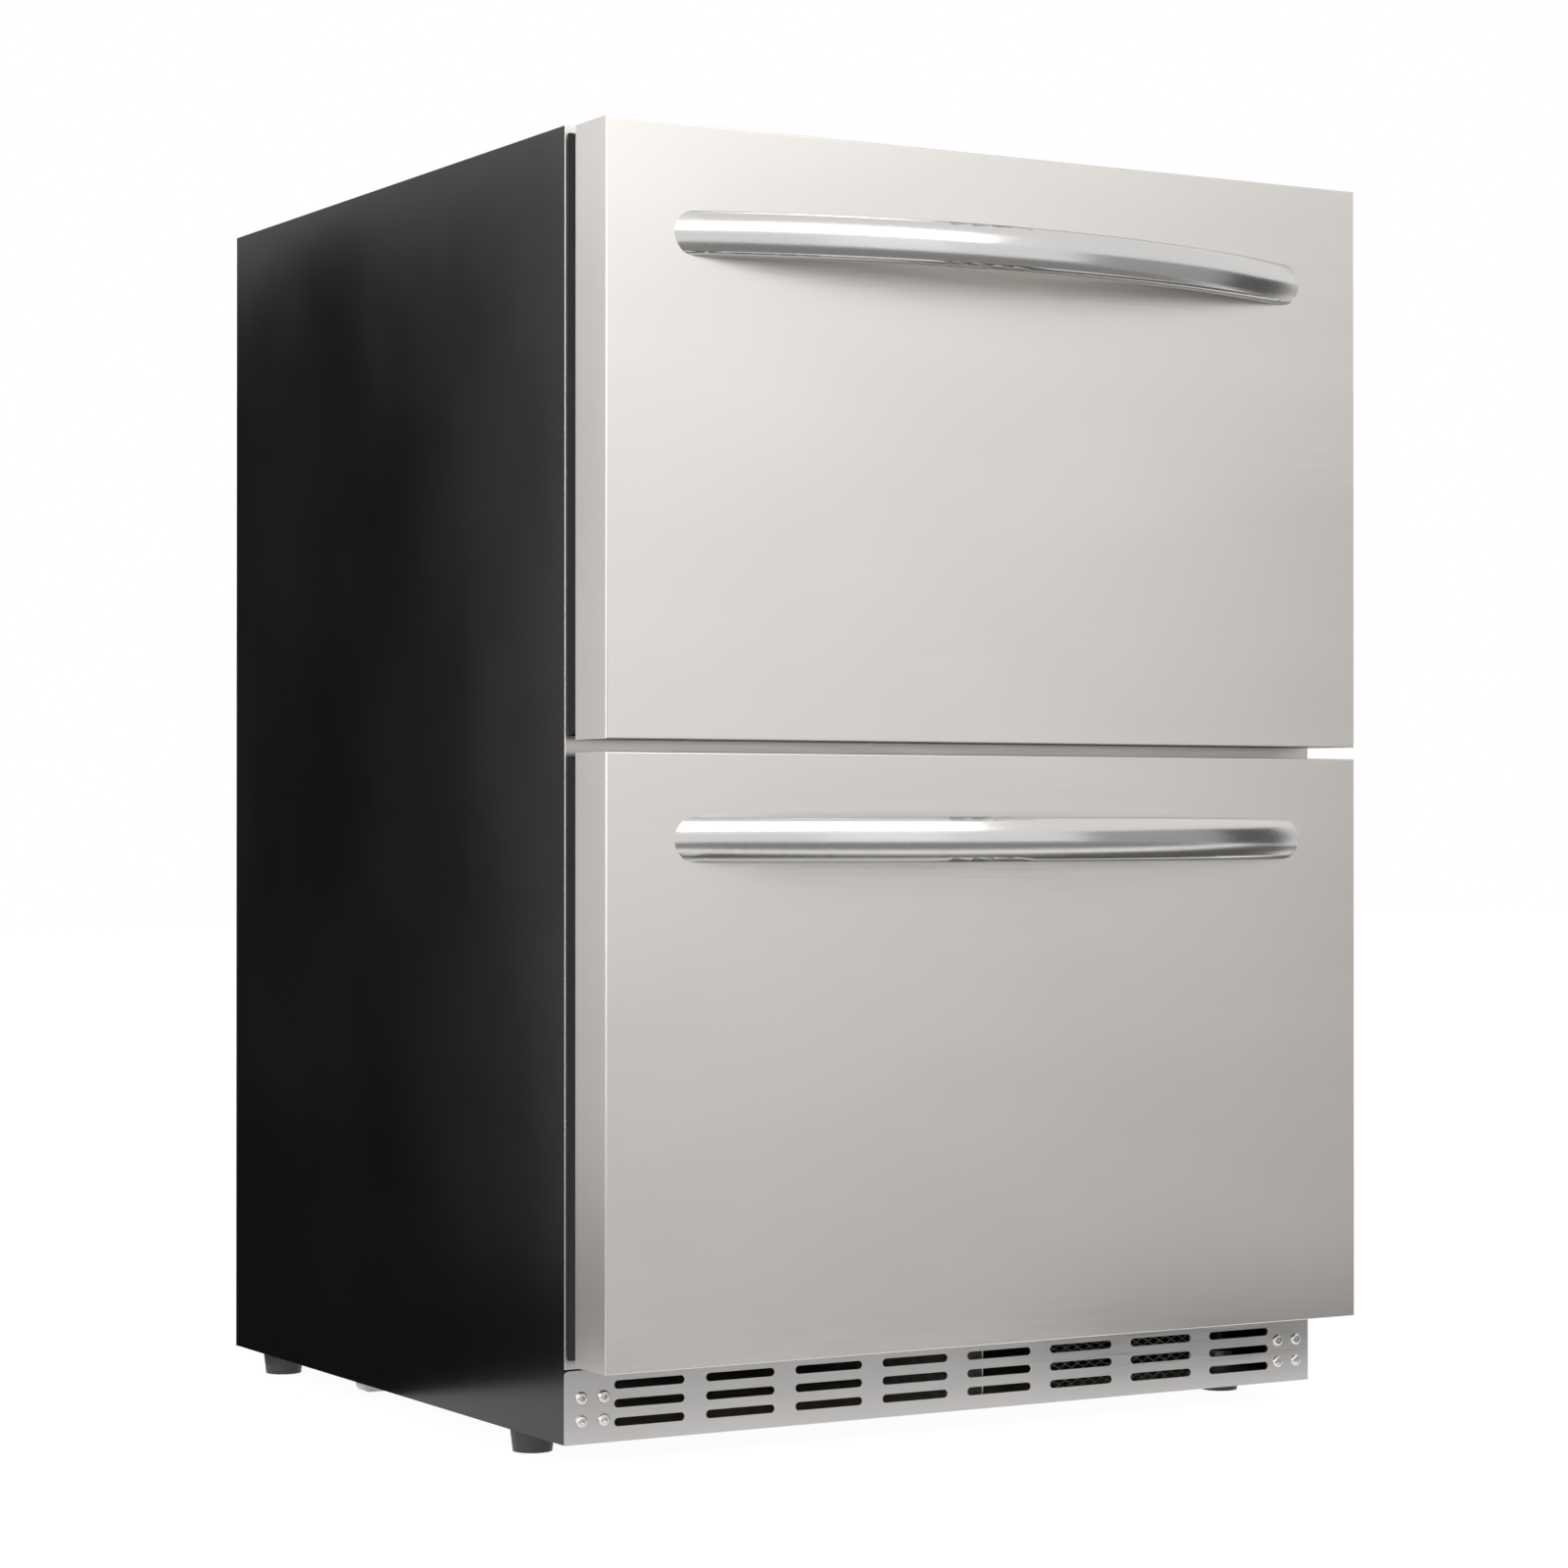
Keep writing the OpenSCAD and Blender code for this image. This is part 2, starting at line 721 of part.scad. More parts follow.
module front_frame() {
    color("silver") in_cabinet()
        difference() {
            block([-half_w, half_w], [0, frame_t], [grille_h + grille_gap, cabinet_h]);
            block([-inner_x, inner_x], [-eps, frame_t + eps], [inner_floor, mullion_low]);
            block([-inner_x, inner_x], [-eps, frame_t + eps], [mullion_high, inner_top]);
        }
}

module mullion() {
    color("silver") in_cabinet()
        block([-inner_x, inner_x], [frame_t, frame_t + mullion_d], [mullion_low, mullion_high]);
}

// ---- Insulation and liner ----

module side_insulation() {
    cover_flange = cover_front - sheet_t;
    color("#e8dcb0") in_cabinet()
        both_sides()
            difference() {
                union() {
                    block([skin_x, outer_x], [flange_back, cover_flange], [toe_space_h, outer_top]);
                    block([skin_x, outer_x], [cover_flange - eps, outer_back], [bay_h, outer_top]);
                }
                cover_screw_holes([cover_back - screw_l - eps, cover_flange + eps]);
            }
}

module top_insulation() {
    color("#e8dcb0") in_cabinet()
        block([-skin_x, skin_x], [flange_back, outer_back], [inner_top + liner_t, outer_top]);
}

module rear_insulation() {
    color("#e8dcb0") in_cabinet()
        block([-skin_x, skin_x], [inner_back + liner_t, outer_back], [bay_h, inner_top + liner_t]);
}

module floor_insulation() {
    color("#e8dcb0") in_cabinet()
        block([-skin_x, skin_x], [flange_back, step_y + liner_t],
              [toe_space_h, inner_floor - liner_t]);
}

module step_insulation() {
    color("#e8dcb0") in_cabinet()
        difference() {
            union() {
                block([-skin_x, skin_x], [step_y + liner_t, bay_front],
                      [toe_space_h, step_z - liner_t]);
                block([-skin_x, skin_x], [bay_front, inner_back + liner_t],
                      [bay_h, step_z - liner_t]);
            }
            line_hole(suction_x, pipe_r);
            line_hole(capillary_x, capillary_r);
        }
}

module line_hole(x, r) {
    translate([x, riser_y, bay_h - eps])
        cylinder(r = r + line_clearance, h = step_wall_t + 2 * eps);
}

// The liner's outline in the YZ plane, grown outwards by t
function liner_outline(t) = [
    [frame_t, inner_floor - t],
    [step_y + t, inner_floor - t],
    [step_y + t, step_z - t],
    [inner_back + t, step_z - t],
    [inner_back + t, inner_top + t],
    [frame_t, inner_top + t]
];

module extrude_x(x, outline) {
    translate([x[0], 0, 0])
        rotate([90, 0, 90])
            linear_extrude(x[1] - x[0])
                polygon(outline);
}

module inner_liner() {
    color("#dfe2e3") in_cabinet()
        difference() {
            extrude_x([-skin_x, skin_x], liner_outline(liner_t));
            extrude_x([-inner_x, inner_x], liner_outline(0));
            block([-inner_x, inner_x], [0, frame_t + eps], [inner_floor, inner_top]);
            line_hole(suction_x, pipe_r);
            line_hole(capillary_x, capillary_r);
        }
}

// ---- Toe grille ----

module grille_outline() {
    block([-half_w, half_w], [0, frame_t], [0, grille_h - grille_corner_r]);
    block([-half_w + grille_corner_r, half_w - grille_corner_r], [0, frame_t], [0, grille_h]);
    both_sides()
        translate([half_w - grille_corner_r, 0, grille_h - grille_corner_r])
            rod_y(grille_corner_r, [0, frame_t]);
}

module toe_grille() {
    color("silver") in_cabinet()
        difference() {
            grille_outline();
            for (column = [0 : slot_columns - 1], row = [0 : slot_rows - 1])
                translate([(column - (slot_columns - 1) / 2) * slot_pitch_x, 0,
                           slot_mid_z + (row - (slot_rows - 1) / 2) * slot_pitch_z])
                    slot_y(slot_l, slot_h, [-eps, frame_t + eps]);
            for (x = screw_xs, z = screw_zs)
                both_sides()
                    translate([x, 0, z])
                        rod_y(screw_d / 2 + screw_clearance, [-eps, frame_t + eps]);
        }
}

// A domed screw with a hexagon socket, its head towards -Y and its seat at y = 0
module panel_screw() {
    dome_r = (pow(screw_head_d / 2, 2) + pow(screw_head_h, 2)) / (2 * screw_head_h);
    difference() {
        union() {
            intersection() {
                translate([0, dome_r - screw_head_h, 0]) sphere(r = dome_r);
                rod_y(screw_head_d / 2, [-screw_head_h, 0]);
            }
            rod_y(screw_d / 2, [-eps, screw_l]);
        }
        rotate([90, 0, 0])
            cylinder(d = socket_w / cos(30), h = 2 * screw_head_h, $fn = 6);
    }
}

module panel_screws() {
    color("silver") in_cabinet() {
        for (x = screw_xs, z = screw_zs)
            both_sides()
                translate([x, 0, z]) panel_screw();
        for (z = cover_screw_zs)
            both_sides()
                translate([cover_screw_x, cover_back, z])
                    rotate([0, 0, 180]) panel_screw();
    }
}

// ---- Machine bay ----

// Rows of three vents, the lowest row at z = 0
module vents(rows, y) {
    for (row = [0 : rows - 1], column = [-1, 0, 1])
        translate([column * vent_pitch_x, 0, row * vent_pitch_z])
            slot_y(vent_l, vent_h, y);
}

// The holes of the right side's screws in the rear vent cover
module cover_screw_holes(y) {
    for (z = cover_screw_zs)
        translate([cover_screw_x, 0, z])
            rod_y(screw_d / 2 + screw_clearance, y);
}

module rear_vent_cover() {
    color("#26282a") in_cabinet()
        difference() {
            block([-outer_x, outer_x], [cover_front, cover_back], [plate_t, bay_h]);
            translate([0, 0, rear_vent_z])
                vents(rear_vent_rows, [cover_front - eps, cover_back + eps]);
            both_sides() cover_screw_holes([cover_front - eps, cover_back + eps]);
            translate([gland_x, 0, gland_z])
                rod_y(gland_r + screw_clearance, [cover_front - eps, cover_back + eps]);
        }
}

module cord_gland() {
    color("#2b2b2c") in_cabinet()
        translate([gland_x, 0, gland_z])
            difference() {
                union() {
                    rod_y(gland_r + gland_flange_w, [cover_back, cover_back + gland_flange_t]);
                    rod_y(gland_r, [cover_back - gland_l, cover_back + eps]);
                }
                rod_y(cord_hole_r, [cover_back - gland_l - eps, cover_back + gland_flange_t + eps]);
            }
}

module compressor_plate() {
    rail_x = half_w - rail_lip_inset;
    corner = rail_lip_h / 2;
    color("#b9bdbf") in_cabinet()
        difference() {
            union() {
                block([-outer_x, outer_x], [plate_front, cover_front], [0, plate_t]);
                boss_pair(rear_foot_y, plate_t);
                block([-rail_x, rail_x], [plate_front, plate_front + rail_lip_w],
                      [corner - rail_lip_h, eps]);
                block([-rail_x + corner, rail_x - corner], [plate_front, plate_front + rail_lip_w],
                      [-rail_lip_h, eps]);
                both_sides()
                    translate([rail_x - corner, 0, corner - rail_lip_h])
                        rod_y(corner, [plate_front, plate_front + rail_lip_w]);
            }
            both_sides() stud_hole(foot_x, rear_foot_y);
        }
}

// The can is a barrel between two domes, on a foot plate with four rubber feet
module compressor() {
    can_r = compressor_d / 2;
    dome_h = compressor_dome_h;
    dome_r = (can_r * can_r + dome_h * dome_h) / (2 * dome_h);
    color("#232425") in_cabinet() {
        translate([compressor_x, machine_y, compressor_z]) {
            cylinder(r = can_r, h = compressor_h - dome_h);
            translate([0, 0, compressor_h - dome_h])
                intersection() {
                    translate([0, 0, dome_h - dome_r]) sphere(r = dome_r);
                    cylinder(r = can_r, h = dome_h);
                }
            block([-leg_x - leg_margin, leg_x + leg_margin], [-leg_y - leg_margin, leg_y + leg_margin],
                  [-leg_plate_t, eps]);
            for (x = [-leg_x, leg_x], y = [-leg_y, leg_y])
                translate([x, y, -compressor_lift])
                    cylinder(r = leg_r, h = compressor_lift);
        }
        for (port = [suction_port, discharge_port])
            translate([port.x, port.y, compressor_z + dome_h])
                cylinder(r = pipe_r, h = port_top - compressor_z - dome_h);
    }
}

module drip_pan() {
    half = pan_w / 2;
    inside = half - pan_t;
    color("#3a3c3e") in_cabinet()
        translate([compressor_x - pan_offset, machine_y, compressor_z + compressor_h])
            difference() {
                block([-half, half], [-half, half], [0, pan_h]);
                block([-inside, inside], [-inside, inside], [pan_t, pan_h + eps]);
            }
}

// A half ring of tube in the plane x = 0, bulging towards +X, between two tubes a pitch apart in Y
module return_bend(pitch) {
    rotate([0, 0, -90])
        rotate_extrude(angle = 180)
            translate([pitch / 2, 0, 0]) circle(r = coil_tube_r);
}

// Fins across a bundle of tubes along X: two serpentines joined at the far end of the lowest
// row, with both free ends at x = 0 in the highest row
module fin_pack(length, depth, height) {
    step = (length - 2 * tube_stub) / (fin_count - 1);
    row_pitch = height / coil_rows;
    for (i = [0 : fin_count - 1])
        block([tube_stub + i * step - fin_t / 2, tube_stub + i * step + fin_t / 2],
              [0, depth], [0, height]);
    for (column = [0, 1], row = [0 : coil_rows - 1])
        translate([0, depth * (1 + 2 * column) / 4, (row + 0.5) * row_pitch])
            rod_x(coil_tube_r, [0, length]);
    for (column = [0, 1], row = [0 : coil_rows - 2])
        translate([row % 2 == 0 ? 0 : length, depth * (1 + 2 * column) / 4, (row + 1) * row_pitch])
            rotate([90, 0, row % 2 == 0 ? 180 : 0])
                return_bend(row_pitch);
    translate([length, depth / 2, row_pitch / 2]) return_bend(depth / 2);
}

module condenser_coil() {
    color("#7c7f80") in_cabinet()
        translate([condenser_x[1], condenser_y[0], condenser_z[0]])
            rotate([0, 0, 90])
                fin_pack(condenser_l, condenser_w, condenser_h);
}

// Expanded metal: diamond holes in rows, every other row half a pitch over
module condenser_guard() {
    y = [flange_back + guard_gap, flange_back + guard_gap + sheet_t];
    half = guard_hole / 2;
    guard_h = toe_space_h - sheet_t;
    color("#9a9c9d") in_cabinet()
        translate([half_w - guard_inset - guard_w, 0, sheet_t])
            difference() {
                block([0, guard_w], y, [0, guard_h]);
                intersection() {
                    for (i = [0 : guard_w / guard_pitch], j = [0 : guard_h / guard_pitch])
                        translate([(i + j % 2 / 2) * guard_pitch, 0, j * guard_pitch])
                            rotate([0, 45, 0])
                                block([-half, half], [y[0] - eps, y[1] + eps], [-half, half]);
                    block([guard_rim, guard_w - guard_rim], [0, cabinet_d],
                          [guard_rim, guard_h - guard_rim]);
                }
            }
}

module fan_shroud() {
    color("#3a3c3e") in_cabinet()
        difference() {
            block([shroud_x, shroud_x + shroud_t], [machine_y - shroud_w / 2, machine_y + shroud_w / 2],
                  [plate_t, shroud_h]);
            translate([0, machine_y, condenser_fan_z])
                rod_x(fan_hole_r, [shroud_x - eps, shroud_x + shroud_t + eps]);
        }
}

// A motor on a cross of arms, its axis along +Z. The arms' feet are on the plane z = 0 and
// the arms at the height of the stand.
module fan_motor(stand) {
    arm_l = fan_hole_r + arm_reach;
    half = arm_w / 2;
    difference() {
        union() {
            translate([0, 0, stand]) cylinder(d = motor_d, h = motor_l);
            for (turn = [0, 90])
                rotate([0, 0, turn])
                    block([-arm_l, arm_l], [-half, half], [stand, stand + arm_t]);
            for (turn = [0 : 90 : 270])
                rotate([0, 0, turn])
                    block([arm_l - arm_foot, arm_l], [-half, half], [0, stand + arm_t]);
        }
        translate([0, 0, stand - eps])
            cylinder(r = shaft_d / 2 + shaft_clearance, h = eps + shaft_bite + shaft_end_gap);
    }
}

// A hub with pitched blades, a clearance below the arms of a motor on that stand
module fan_wheel(stand) {
    translate([0, 0, stand - fan_clearance - fan_depth]) {
        cylinder(d = hub_d, h = fan_depth);
        translate([0, 0, fan_depth - eps])
            cylinder(d = shaft_d, h = eps + fan_clearance + shaft_bite);
        intersection() {
            for (i = [0 : blade_count - 1])
                rotate([0, 0, i * 360 / blade_count])
                    translate([0, 0, fan_depth / 2])
                        rotate([blade_pitch, 0, 0])
                            block([hub_d / 2 - blade_root, fan_d / 2 + eps], [-fan_depth, fan_depth],
                                  [-blade_t / 2, blade_t / 2]);
            cylinder(d = fan_d, h = fan_depth - blade_back_gap);
        }
    }
}

module condenser_fan_place() {
    translate([shroud_x + shroud_t, machine_y, condenser_fan_z])
        rotate([0, 90, 0]) children();
}

module condenser_fan_motor() {
    color("#2f3132") in_cabinet() condenser_fan_place() fan_motor(fan_clearance);
}

module condenser_fan() {
    color("#1f2021") in_cabinet() condenser_fan_place() fan_wheel(fan_clearance);
}

module filter_drier() {
    color("#b87333") in_cabinet()
        translate([drier_x, drier_y, drier_z[0]])
            cylinder(r = drier_r, h = drier_l);
}

module refrigerant_lines() {
    evaporator_row = evaporator_h / coil_rows;
    evaporator_end = -evaporator_w / 2;
    high_tube_z = evaporator_z + evaporator_h - evaporator_row / 2;
    rear_tube_y = evaporator_y + evaporator_d * 3 / 4;
    front_tube_y = evaporator_y + evaporator_d / 4;
    condenser_row = condenser_h / coil_rows;
    high_coil_z = condenser_z[1] - condenser_row / 2;
    far_tube_x = condenser_x[1] - condenser_w / 4;
    near_tube_x = condenser_x[1] - condenser_w * 3 / 4;
    front_end_y = condenser_y[0];
    front_run_y = bay_front + line_wall_gap;
    discharge_run_z = port_top + discharge_rise;
    discharge_run_x = condenser_x[1] + discharge_side_gap;
    discharge_run_y = cover_front - discharge_cover_gap;
    color("#b87333") in_cabinet() {
        pipe([
            [evaporator_end, rear_tube_y, high_tube_z],
            [suction_x, rear_tube_y, high_tube_z],
            [suction_x, riser_y, high_tube_z],
            [suction_x, riser_y, suction_run_z],
            [suction_port.x, riser_y, suction_run_z],
            [suction_port.x, suction_port.y, suction_run_z],
            [suction_port.x, suction_port.y, port_top]
        ], pipe_r);
        pipe([
            [discharge_port.x, discharge_port.y, port_top],
            [discharge_port.x, discharge_port.y, discharge_run_z],
            [discharge_port.x, discharge_run_y, discharge_run_z],
            [discharge_run_x, discharge_run_y, discharge_run_z],
            [discharge_run_x, front_run_y, discharge_run_z],
            [discharge_run_x, front_run_y, high_coil_z],
            [far_tube_x, front_run_y, high_coil_z],
            [far_tube_x, front_end_y, high_coil_z]
        ], pipe_r);
        pipe([
            [near_tube_x, front_end_y, high_coil_z],
            [near_tube_x, front_run_y, high_coil_z],
            [near_tube_x, front_run_y, liquid_line_z],
            [drier_x, front_run_y, liquid_line_z],
            [drier_x, drier_y, liquid_line_z],
            [drier_x, drier_y, drier_z[0]]
        ], capillary_r);
        pipe([
            [drier_x, drier_y, drier_z[1]],
            [drier_x, drier_y, capillary_run_z],
            [capillary_x, drier_y, capillary_run_z],
            [capillary_x, riser_y, capillary_run_z],
            [capillary_x, riser_y, high_tube_z],
            [capillary_x, front_tube_y, high_tube_z],
            [evaporator_end, front_tube_y, high_tube_z]
        ], capillary_r);
    }
}

// ---- Cold parts ----

module evaporator_coil() {
    color("#c9cccd") in_cabinet()
        translate([-evaporator_w / 2, evaporator_y, evaporator_z])
            fin_pack(evaporator_w, evaporator_d, evaporator_h);
}

module evaporator_cover() {
    color("#e6e7e7") in_cabinet()
        difference() {
            union() {
                block([-duct_x, duct_x], [duct_y, duct_y + duct_t], [step_z, duct_top]);
                both_sides()
                    block([duct_x - duct_t, duct_x], [duct_y, inner_back], [step_z, duct_top]);
            }
            translate([0, 0, evaporator_fan_z])
                rod_y(fan_hole_r, [duct_y - eps, duct_y + duct_t + eps]);
            translate([0, 0, step_z + cold_vent_up])
                vents(cold_vent_rows, [duct_y - eps, duct_y + duct_t + eps]);
        }
}

module evaporator_fan_place() {
    translate([0, duct_y + duct_t, evaporator_fan_z])
        rotate([-90, 0, 0]) children();
}

module evaporator_fan_motor() {
    color("#2f3132") in_cabinet() evaporator_fan_place() fan_motor(behind_fan);
}

module evaporator_fan() {
    color("#d9dadb") in_cabinet() evaporator_fan_place() fan_wheel(behind_fan);
}

module temperature_probe() {
    probe_r = probe_d / 2;
    clip_start = (probe_l - probe_clip_l) / 2;
    color("#e6e7e7") in_cabinet()
        translate([inner_x - probe_r - probe_wall_gap, duct_y - probe_reach, inner_top - probe_drop]) {
            rod_y(probe_r, [0, probe_l]);
            block([0, probe_r + probe_wall_gap], [clip_start, clip_start + probe_clip_l],
                  [-probe_clip_h / 2, probe_clip_h / 2]);
        }
}

module interior_lamp() {
    lamp_y = control_face + control_d + lamp_gap;
    color("#f4f1e2") in_cabinet()
        block([-lamp_w / 2, lamp_w / 2], [lamp_y, lamp_y + lamp_d], [inner_top - lamp_h, inner_top]);
}

// ---- Controls ----

module control_housing() {
    color("#2b2c2e") in_cabinet()
        difference() {
            block([-control_w / 2, control_w / 2], [control_face, control_face + control_d],
                  [control_z, inner_top]);
            for (side = [-1, 1])
                translate([side * button_x, control_face, control_z + control_h / 2])
                    rod_y(button_d / 2 + button_clearance,
                          [-eps, button_l - button_proud + button_travel]);
        }
}

module control_display() {
    color("#0d1114") in_cabinet()
        block([-display_w / 2, display_w / 2], [control_face - display_t, control_face],
              [control_z + (control_h - display_h) / 2, control_z + (control_h + display_h) / 2]);
}

module button(side) {
    translate([side * button_x, control_face - button_proud, control_z + control_h / 2])
        rod_y(button_d / 2, [0, button_l]);
}

module warmer_button() {
    color("silver") in_cabinet() button(-1);
}

module colder_button() {
    color("silver") in_cabinet() button(1);
}

// ---- Slides ----

// Half of a channel slide at the right side: web outside, flanges towards the middle
module channel(web_x, flange_x, half_height, y) {
    block(web_x, y, [-half_height, half_height]);
    for (side = [0, 1])
        mirror([0, 0, side])
            block([min(flange_x[0], web_x[0]), max(flange_x[1], web_x[1])], y,
                  [half_height - slide_t, half_height]);
}

module outer_rail_pair(length, z) {
    translate([0, 0, z])
        both_sides()
            channel(outer_web, [outer_flange_x, inner_x], slide_h / 2,
                    [slide_front, slide_front + length]);
}

module middle_rail_pair(length, z) {
    translate([0, 0, z])
        both_sides()
            channel(middle_web, [outer_flange_x + slide_width_step, middle_web[1]], middle_half,
                    [slide_front, slide_front + length - slide_length_step]);
}

module inner_rail_pair(length, z) {
    translate([0, 0, z])
        both_sides()
            channel(inner_web, [bin_x, middle_web[0] - slide_gap], inner_half,
                    [slide_front, slide_front + length - 2 * slide_length_step]);
}

module outer_rails() {
    color("#a5a8aa") in_cabinet() {
        outer_rail_pair(upper_slide_l, upper_bin_z + slide_up);
        outer_rail_pair(lower_slide_l, lower_bin_z + slide_up);
    }
}

module upper_middle_rails() {
    color("#b4b7b9") in_cabinet() middle_rail_pair(upper_slide_l, upper_bin_z + slide_up);
}

module lower_middle_rails() {
    color("#b4b7b9") in_cabinet() middle_rail_pair(lower_slide_l, lower_bin_z + slide_up);
}

module upper_inner_rails() {
    color("#c2c5c7") in_cabinet() inner_rail_pair(upper_slide_l, upper_bin_z + slide_up);
}

module lower_inner_rails() {
    color("#c2c5c7") in_cabinet() inner_rail_pair(lower_slide_l, lower_bin_z + slide_up);
}

// ---- Drawers ----

// The outline of a front seen from above, with its two front edges rounded
module front_plan(height) {
    r = front_edge_r;
    linear_extrude(height) {
        translate([-front_x, panel_face_y + r]) square([front_w, front_t - r]);
        translate([-front_x + r, panel_face_y]) square([front_w - 2 * r, r + eps]);
        for (side = [-1, 1])
            translate([side * (front_x - r), panel_face_y + r]) circle(r = r);
    }
}

module front_shell(z) {
    difference() {
        translate([0, 0, z]) front_plan(front_h);
        block([-front_x + shell_t, front_x - shell_t], [panel_face_y + shell_t, panel_back_y + eps],
              [z + shell_t, z + front_h - shell_t]);
        for (side = [-1, 1])
            translate([side * handle_screw_x, 0, handle_z(z)])
                rod_y(handle_screw_r + screw_clearance, [panel_face_y - eps, panel_face_y + shell_t + eps]);
    }
}

// The core has a pocket behind each handle screw
module front_core(z) {
    difference() {
        block([-front_x + shell_t, front_x - shell_t],
              [panel_face_y + shell_t, panel_back_y - inner_panel_t],
              [z + shell_t, z + front_h - shell_t]);
        for (side = [-1, 1])
            translate([side * handle_screw_x, 0, handle_z(z)])
                rod_y(screw_pocket_r,
                      [panel_face_y + shell_t - eps, panel_face_y + shell_t + screw_pocket_d]);
    }
}

module inner_panel(z) {
    block([-front_x + shell_t, front_x - shell_t], [panel_back_y - inner_panel_t, panel_back_y],
          [z + shell_t, z + front_h - shell_t]);
}

module gasket(z) {
    outer = [front_x - gasket_side_inset, z + gasket_end_inset, z + front_h - gasket_end_inset];
    y = [panel_back_y, -gasket_gap];
    difference() {
        block([-outer[0], outer[0]], y, [outer[1], outer[2]]);
        block([gasket_w - outer[0], outer[0] - gasket_w], [y[0] - eps, y[1] + eps],
              [outer[1] + gasket_w, outer[2] - gasket_w]);
    }
}

// The bar's oval: two tip arcs joined by two flatter side arcs that meet them smoothly
module bar_oval() {
    for (side = [-1, 1])
        translate([0, side * tip_centre]) circle(r = bar_tip_r);
    intersection() {
        translate([-oval_d, 0]) circle(r = oval_r, $fn = bow_segments);
        translate([oval_d, 0]) circle(r = oval_r, $fn = bow_segments);
        square([bar_depth, 2 * oval_join], center = true);
    }
}

// The bow ends flush on the front, where it is cut at a slant
module bow_handle(z) {
    difference() {
        intersection() {
            translate([0, bow_centre_y, z])
                rotate([0, 0, -90 - bow_sweep / 2])
                    rotate_extrude(angle = bow_sweep, $fn = bow_segments)
                        translate([bow_r, 0]) bar_oval();
            block([-handle_l, handle_l], [panel_face_y - 2 * handle_reach, panel_face_y],
                  [z - bar_height, z + bar_height]);
        }
        for (side = [-1, 1])
            translate([side * handle_screw_x, 0, z])
                rod_y(handle_screw_r, [panel_face_y - handle_screw_bite, panel_face_y + eps]);
    }
}

module handle_screw_pair(z) {
    for (side = [-1, 1])
        translate([side * handle_screw_x, 0, z]) {
            rod_y(handle_screw_r, [panel_face_y - handle_screw_bite, panel_face_y + shell_t + eps]);
            rod_y(handle_screw_head_r,
                  [panel_face_y + shell_t, panel_face_y + shell_t + handle_screw_head_h]);
        }
}

// An open bin with a rolled rim, fastened to the back of its front
module bin(z, height, depth) {
    y = [panel_back_y, panel_back_y + depth];
    difference() {
        block([-bin_x, bin_x], y, [z, z + height]);
        block([-bin_x + bin_t, bin_x - bin_t], [y[0] + bin_t, y[1] - bin_t], [z + bin_t, z + height + eps]);
    }
    difference() {
        block([-bin_x, bin_x], y, [z + height - 2 * bin_t, z + height]);
        block([-bin_x + bin_rim_w, bin_x - bin_rim_w], [y[0] + bin_rim_w, y[1] - bin_rim_w],
              [z + height - 2 * bin_t - eps, z + height + eps]);
    }
}

module upper_front_shell() {
    color("gainsboro") in_cabinet() front_shell(upper_front_z);
}

module lower_front_shell() {
    color("gainsboro") in_cabinet() front_shell(lower_front_z);
}

module upper_front_core() {
    color("#e8dcb0") in_cabinet() front_core(upper_front_z);
}

module lower_front_core() {
    color("#e8dcb0") in_cabinet() front_core(lower_front_z);
}

module upper_inner_panel() {
    color("#e6e7e7") in_cabinet() inner_panel(upper_front_z);
}

module lower_inner_panel() {
    color("#e6e7e7") in_cabinet() inner_panel(lower_front_z);
}

module upper_gasket() {
    color("#353433") in_cabinet() gasket(upper_front_z);
}

module lower_gasket() {
    color("#353433") in_cabinet() gasket(lower_front_z);
}

module upper_handle() {
    color("silver") in_cabinet() bow_handle(upper_handle_z);
}

module lower_handle() {
    color("silver") in_cabinet() bow_handle(lower_handle_z);
}

module upper_handle_screws() {
    color("#6f7274") in_cabinet() handle_screw_pair(upper_handle_z);
}

module lower_handle_screws() {
    color("#6f7274") in_cabinet() handle_screw_pair(lower_handle_z);
}

module upper_bin() {
    color("#c9cccd") in_cabinet() bin(upper_bin_z, upper_bin_h, upper_bin_d);
}

module lower_bin() {
    color("#c9cccd") in_cabinet() bin(lower_bin_z, lower_bin_h, lower_bin_d);
}

// ---- Feet ----

// A tapered foot with grip notches, on a stud that runs in a boss of the base
module foot(x, y) {
    color("#3c3c3e") in_cabinet()
        translate([x, y, 0]) {
            difference() {
                translate([0, 0, -foot_h])
                    cylinder(d1 = foot_floor_d, d2 = foot_top_d, h = foot_h);
                for (i = [0 : foot_notches - 1])
                    rotate([0, 0, i * 360 / foot_notches])
                        translate([(foot_top_d + foot_notch_r) / 2, 0, foot_ring_h - foot_h])
                            cylinder(r = foot_notch_r, h = foot_h);
            }
            translate([0, 0, -eps]) cylinder(d = stud_d, h = stud_up + eps);
        }
}

module front_left_foot() {
    foot(-foot_x, front_foot_y);
}

module front_right_foot() {
    foot(foot_x, front_foot_y);
}

module rear_left_foot() {
    foot(-foot_x, rear_foot_y);
}

module rear_right_foot() {
    foot(foot_x, rear_foot_y);
}

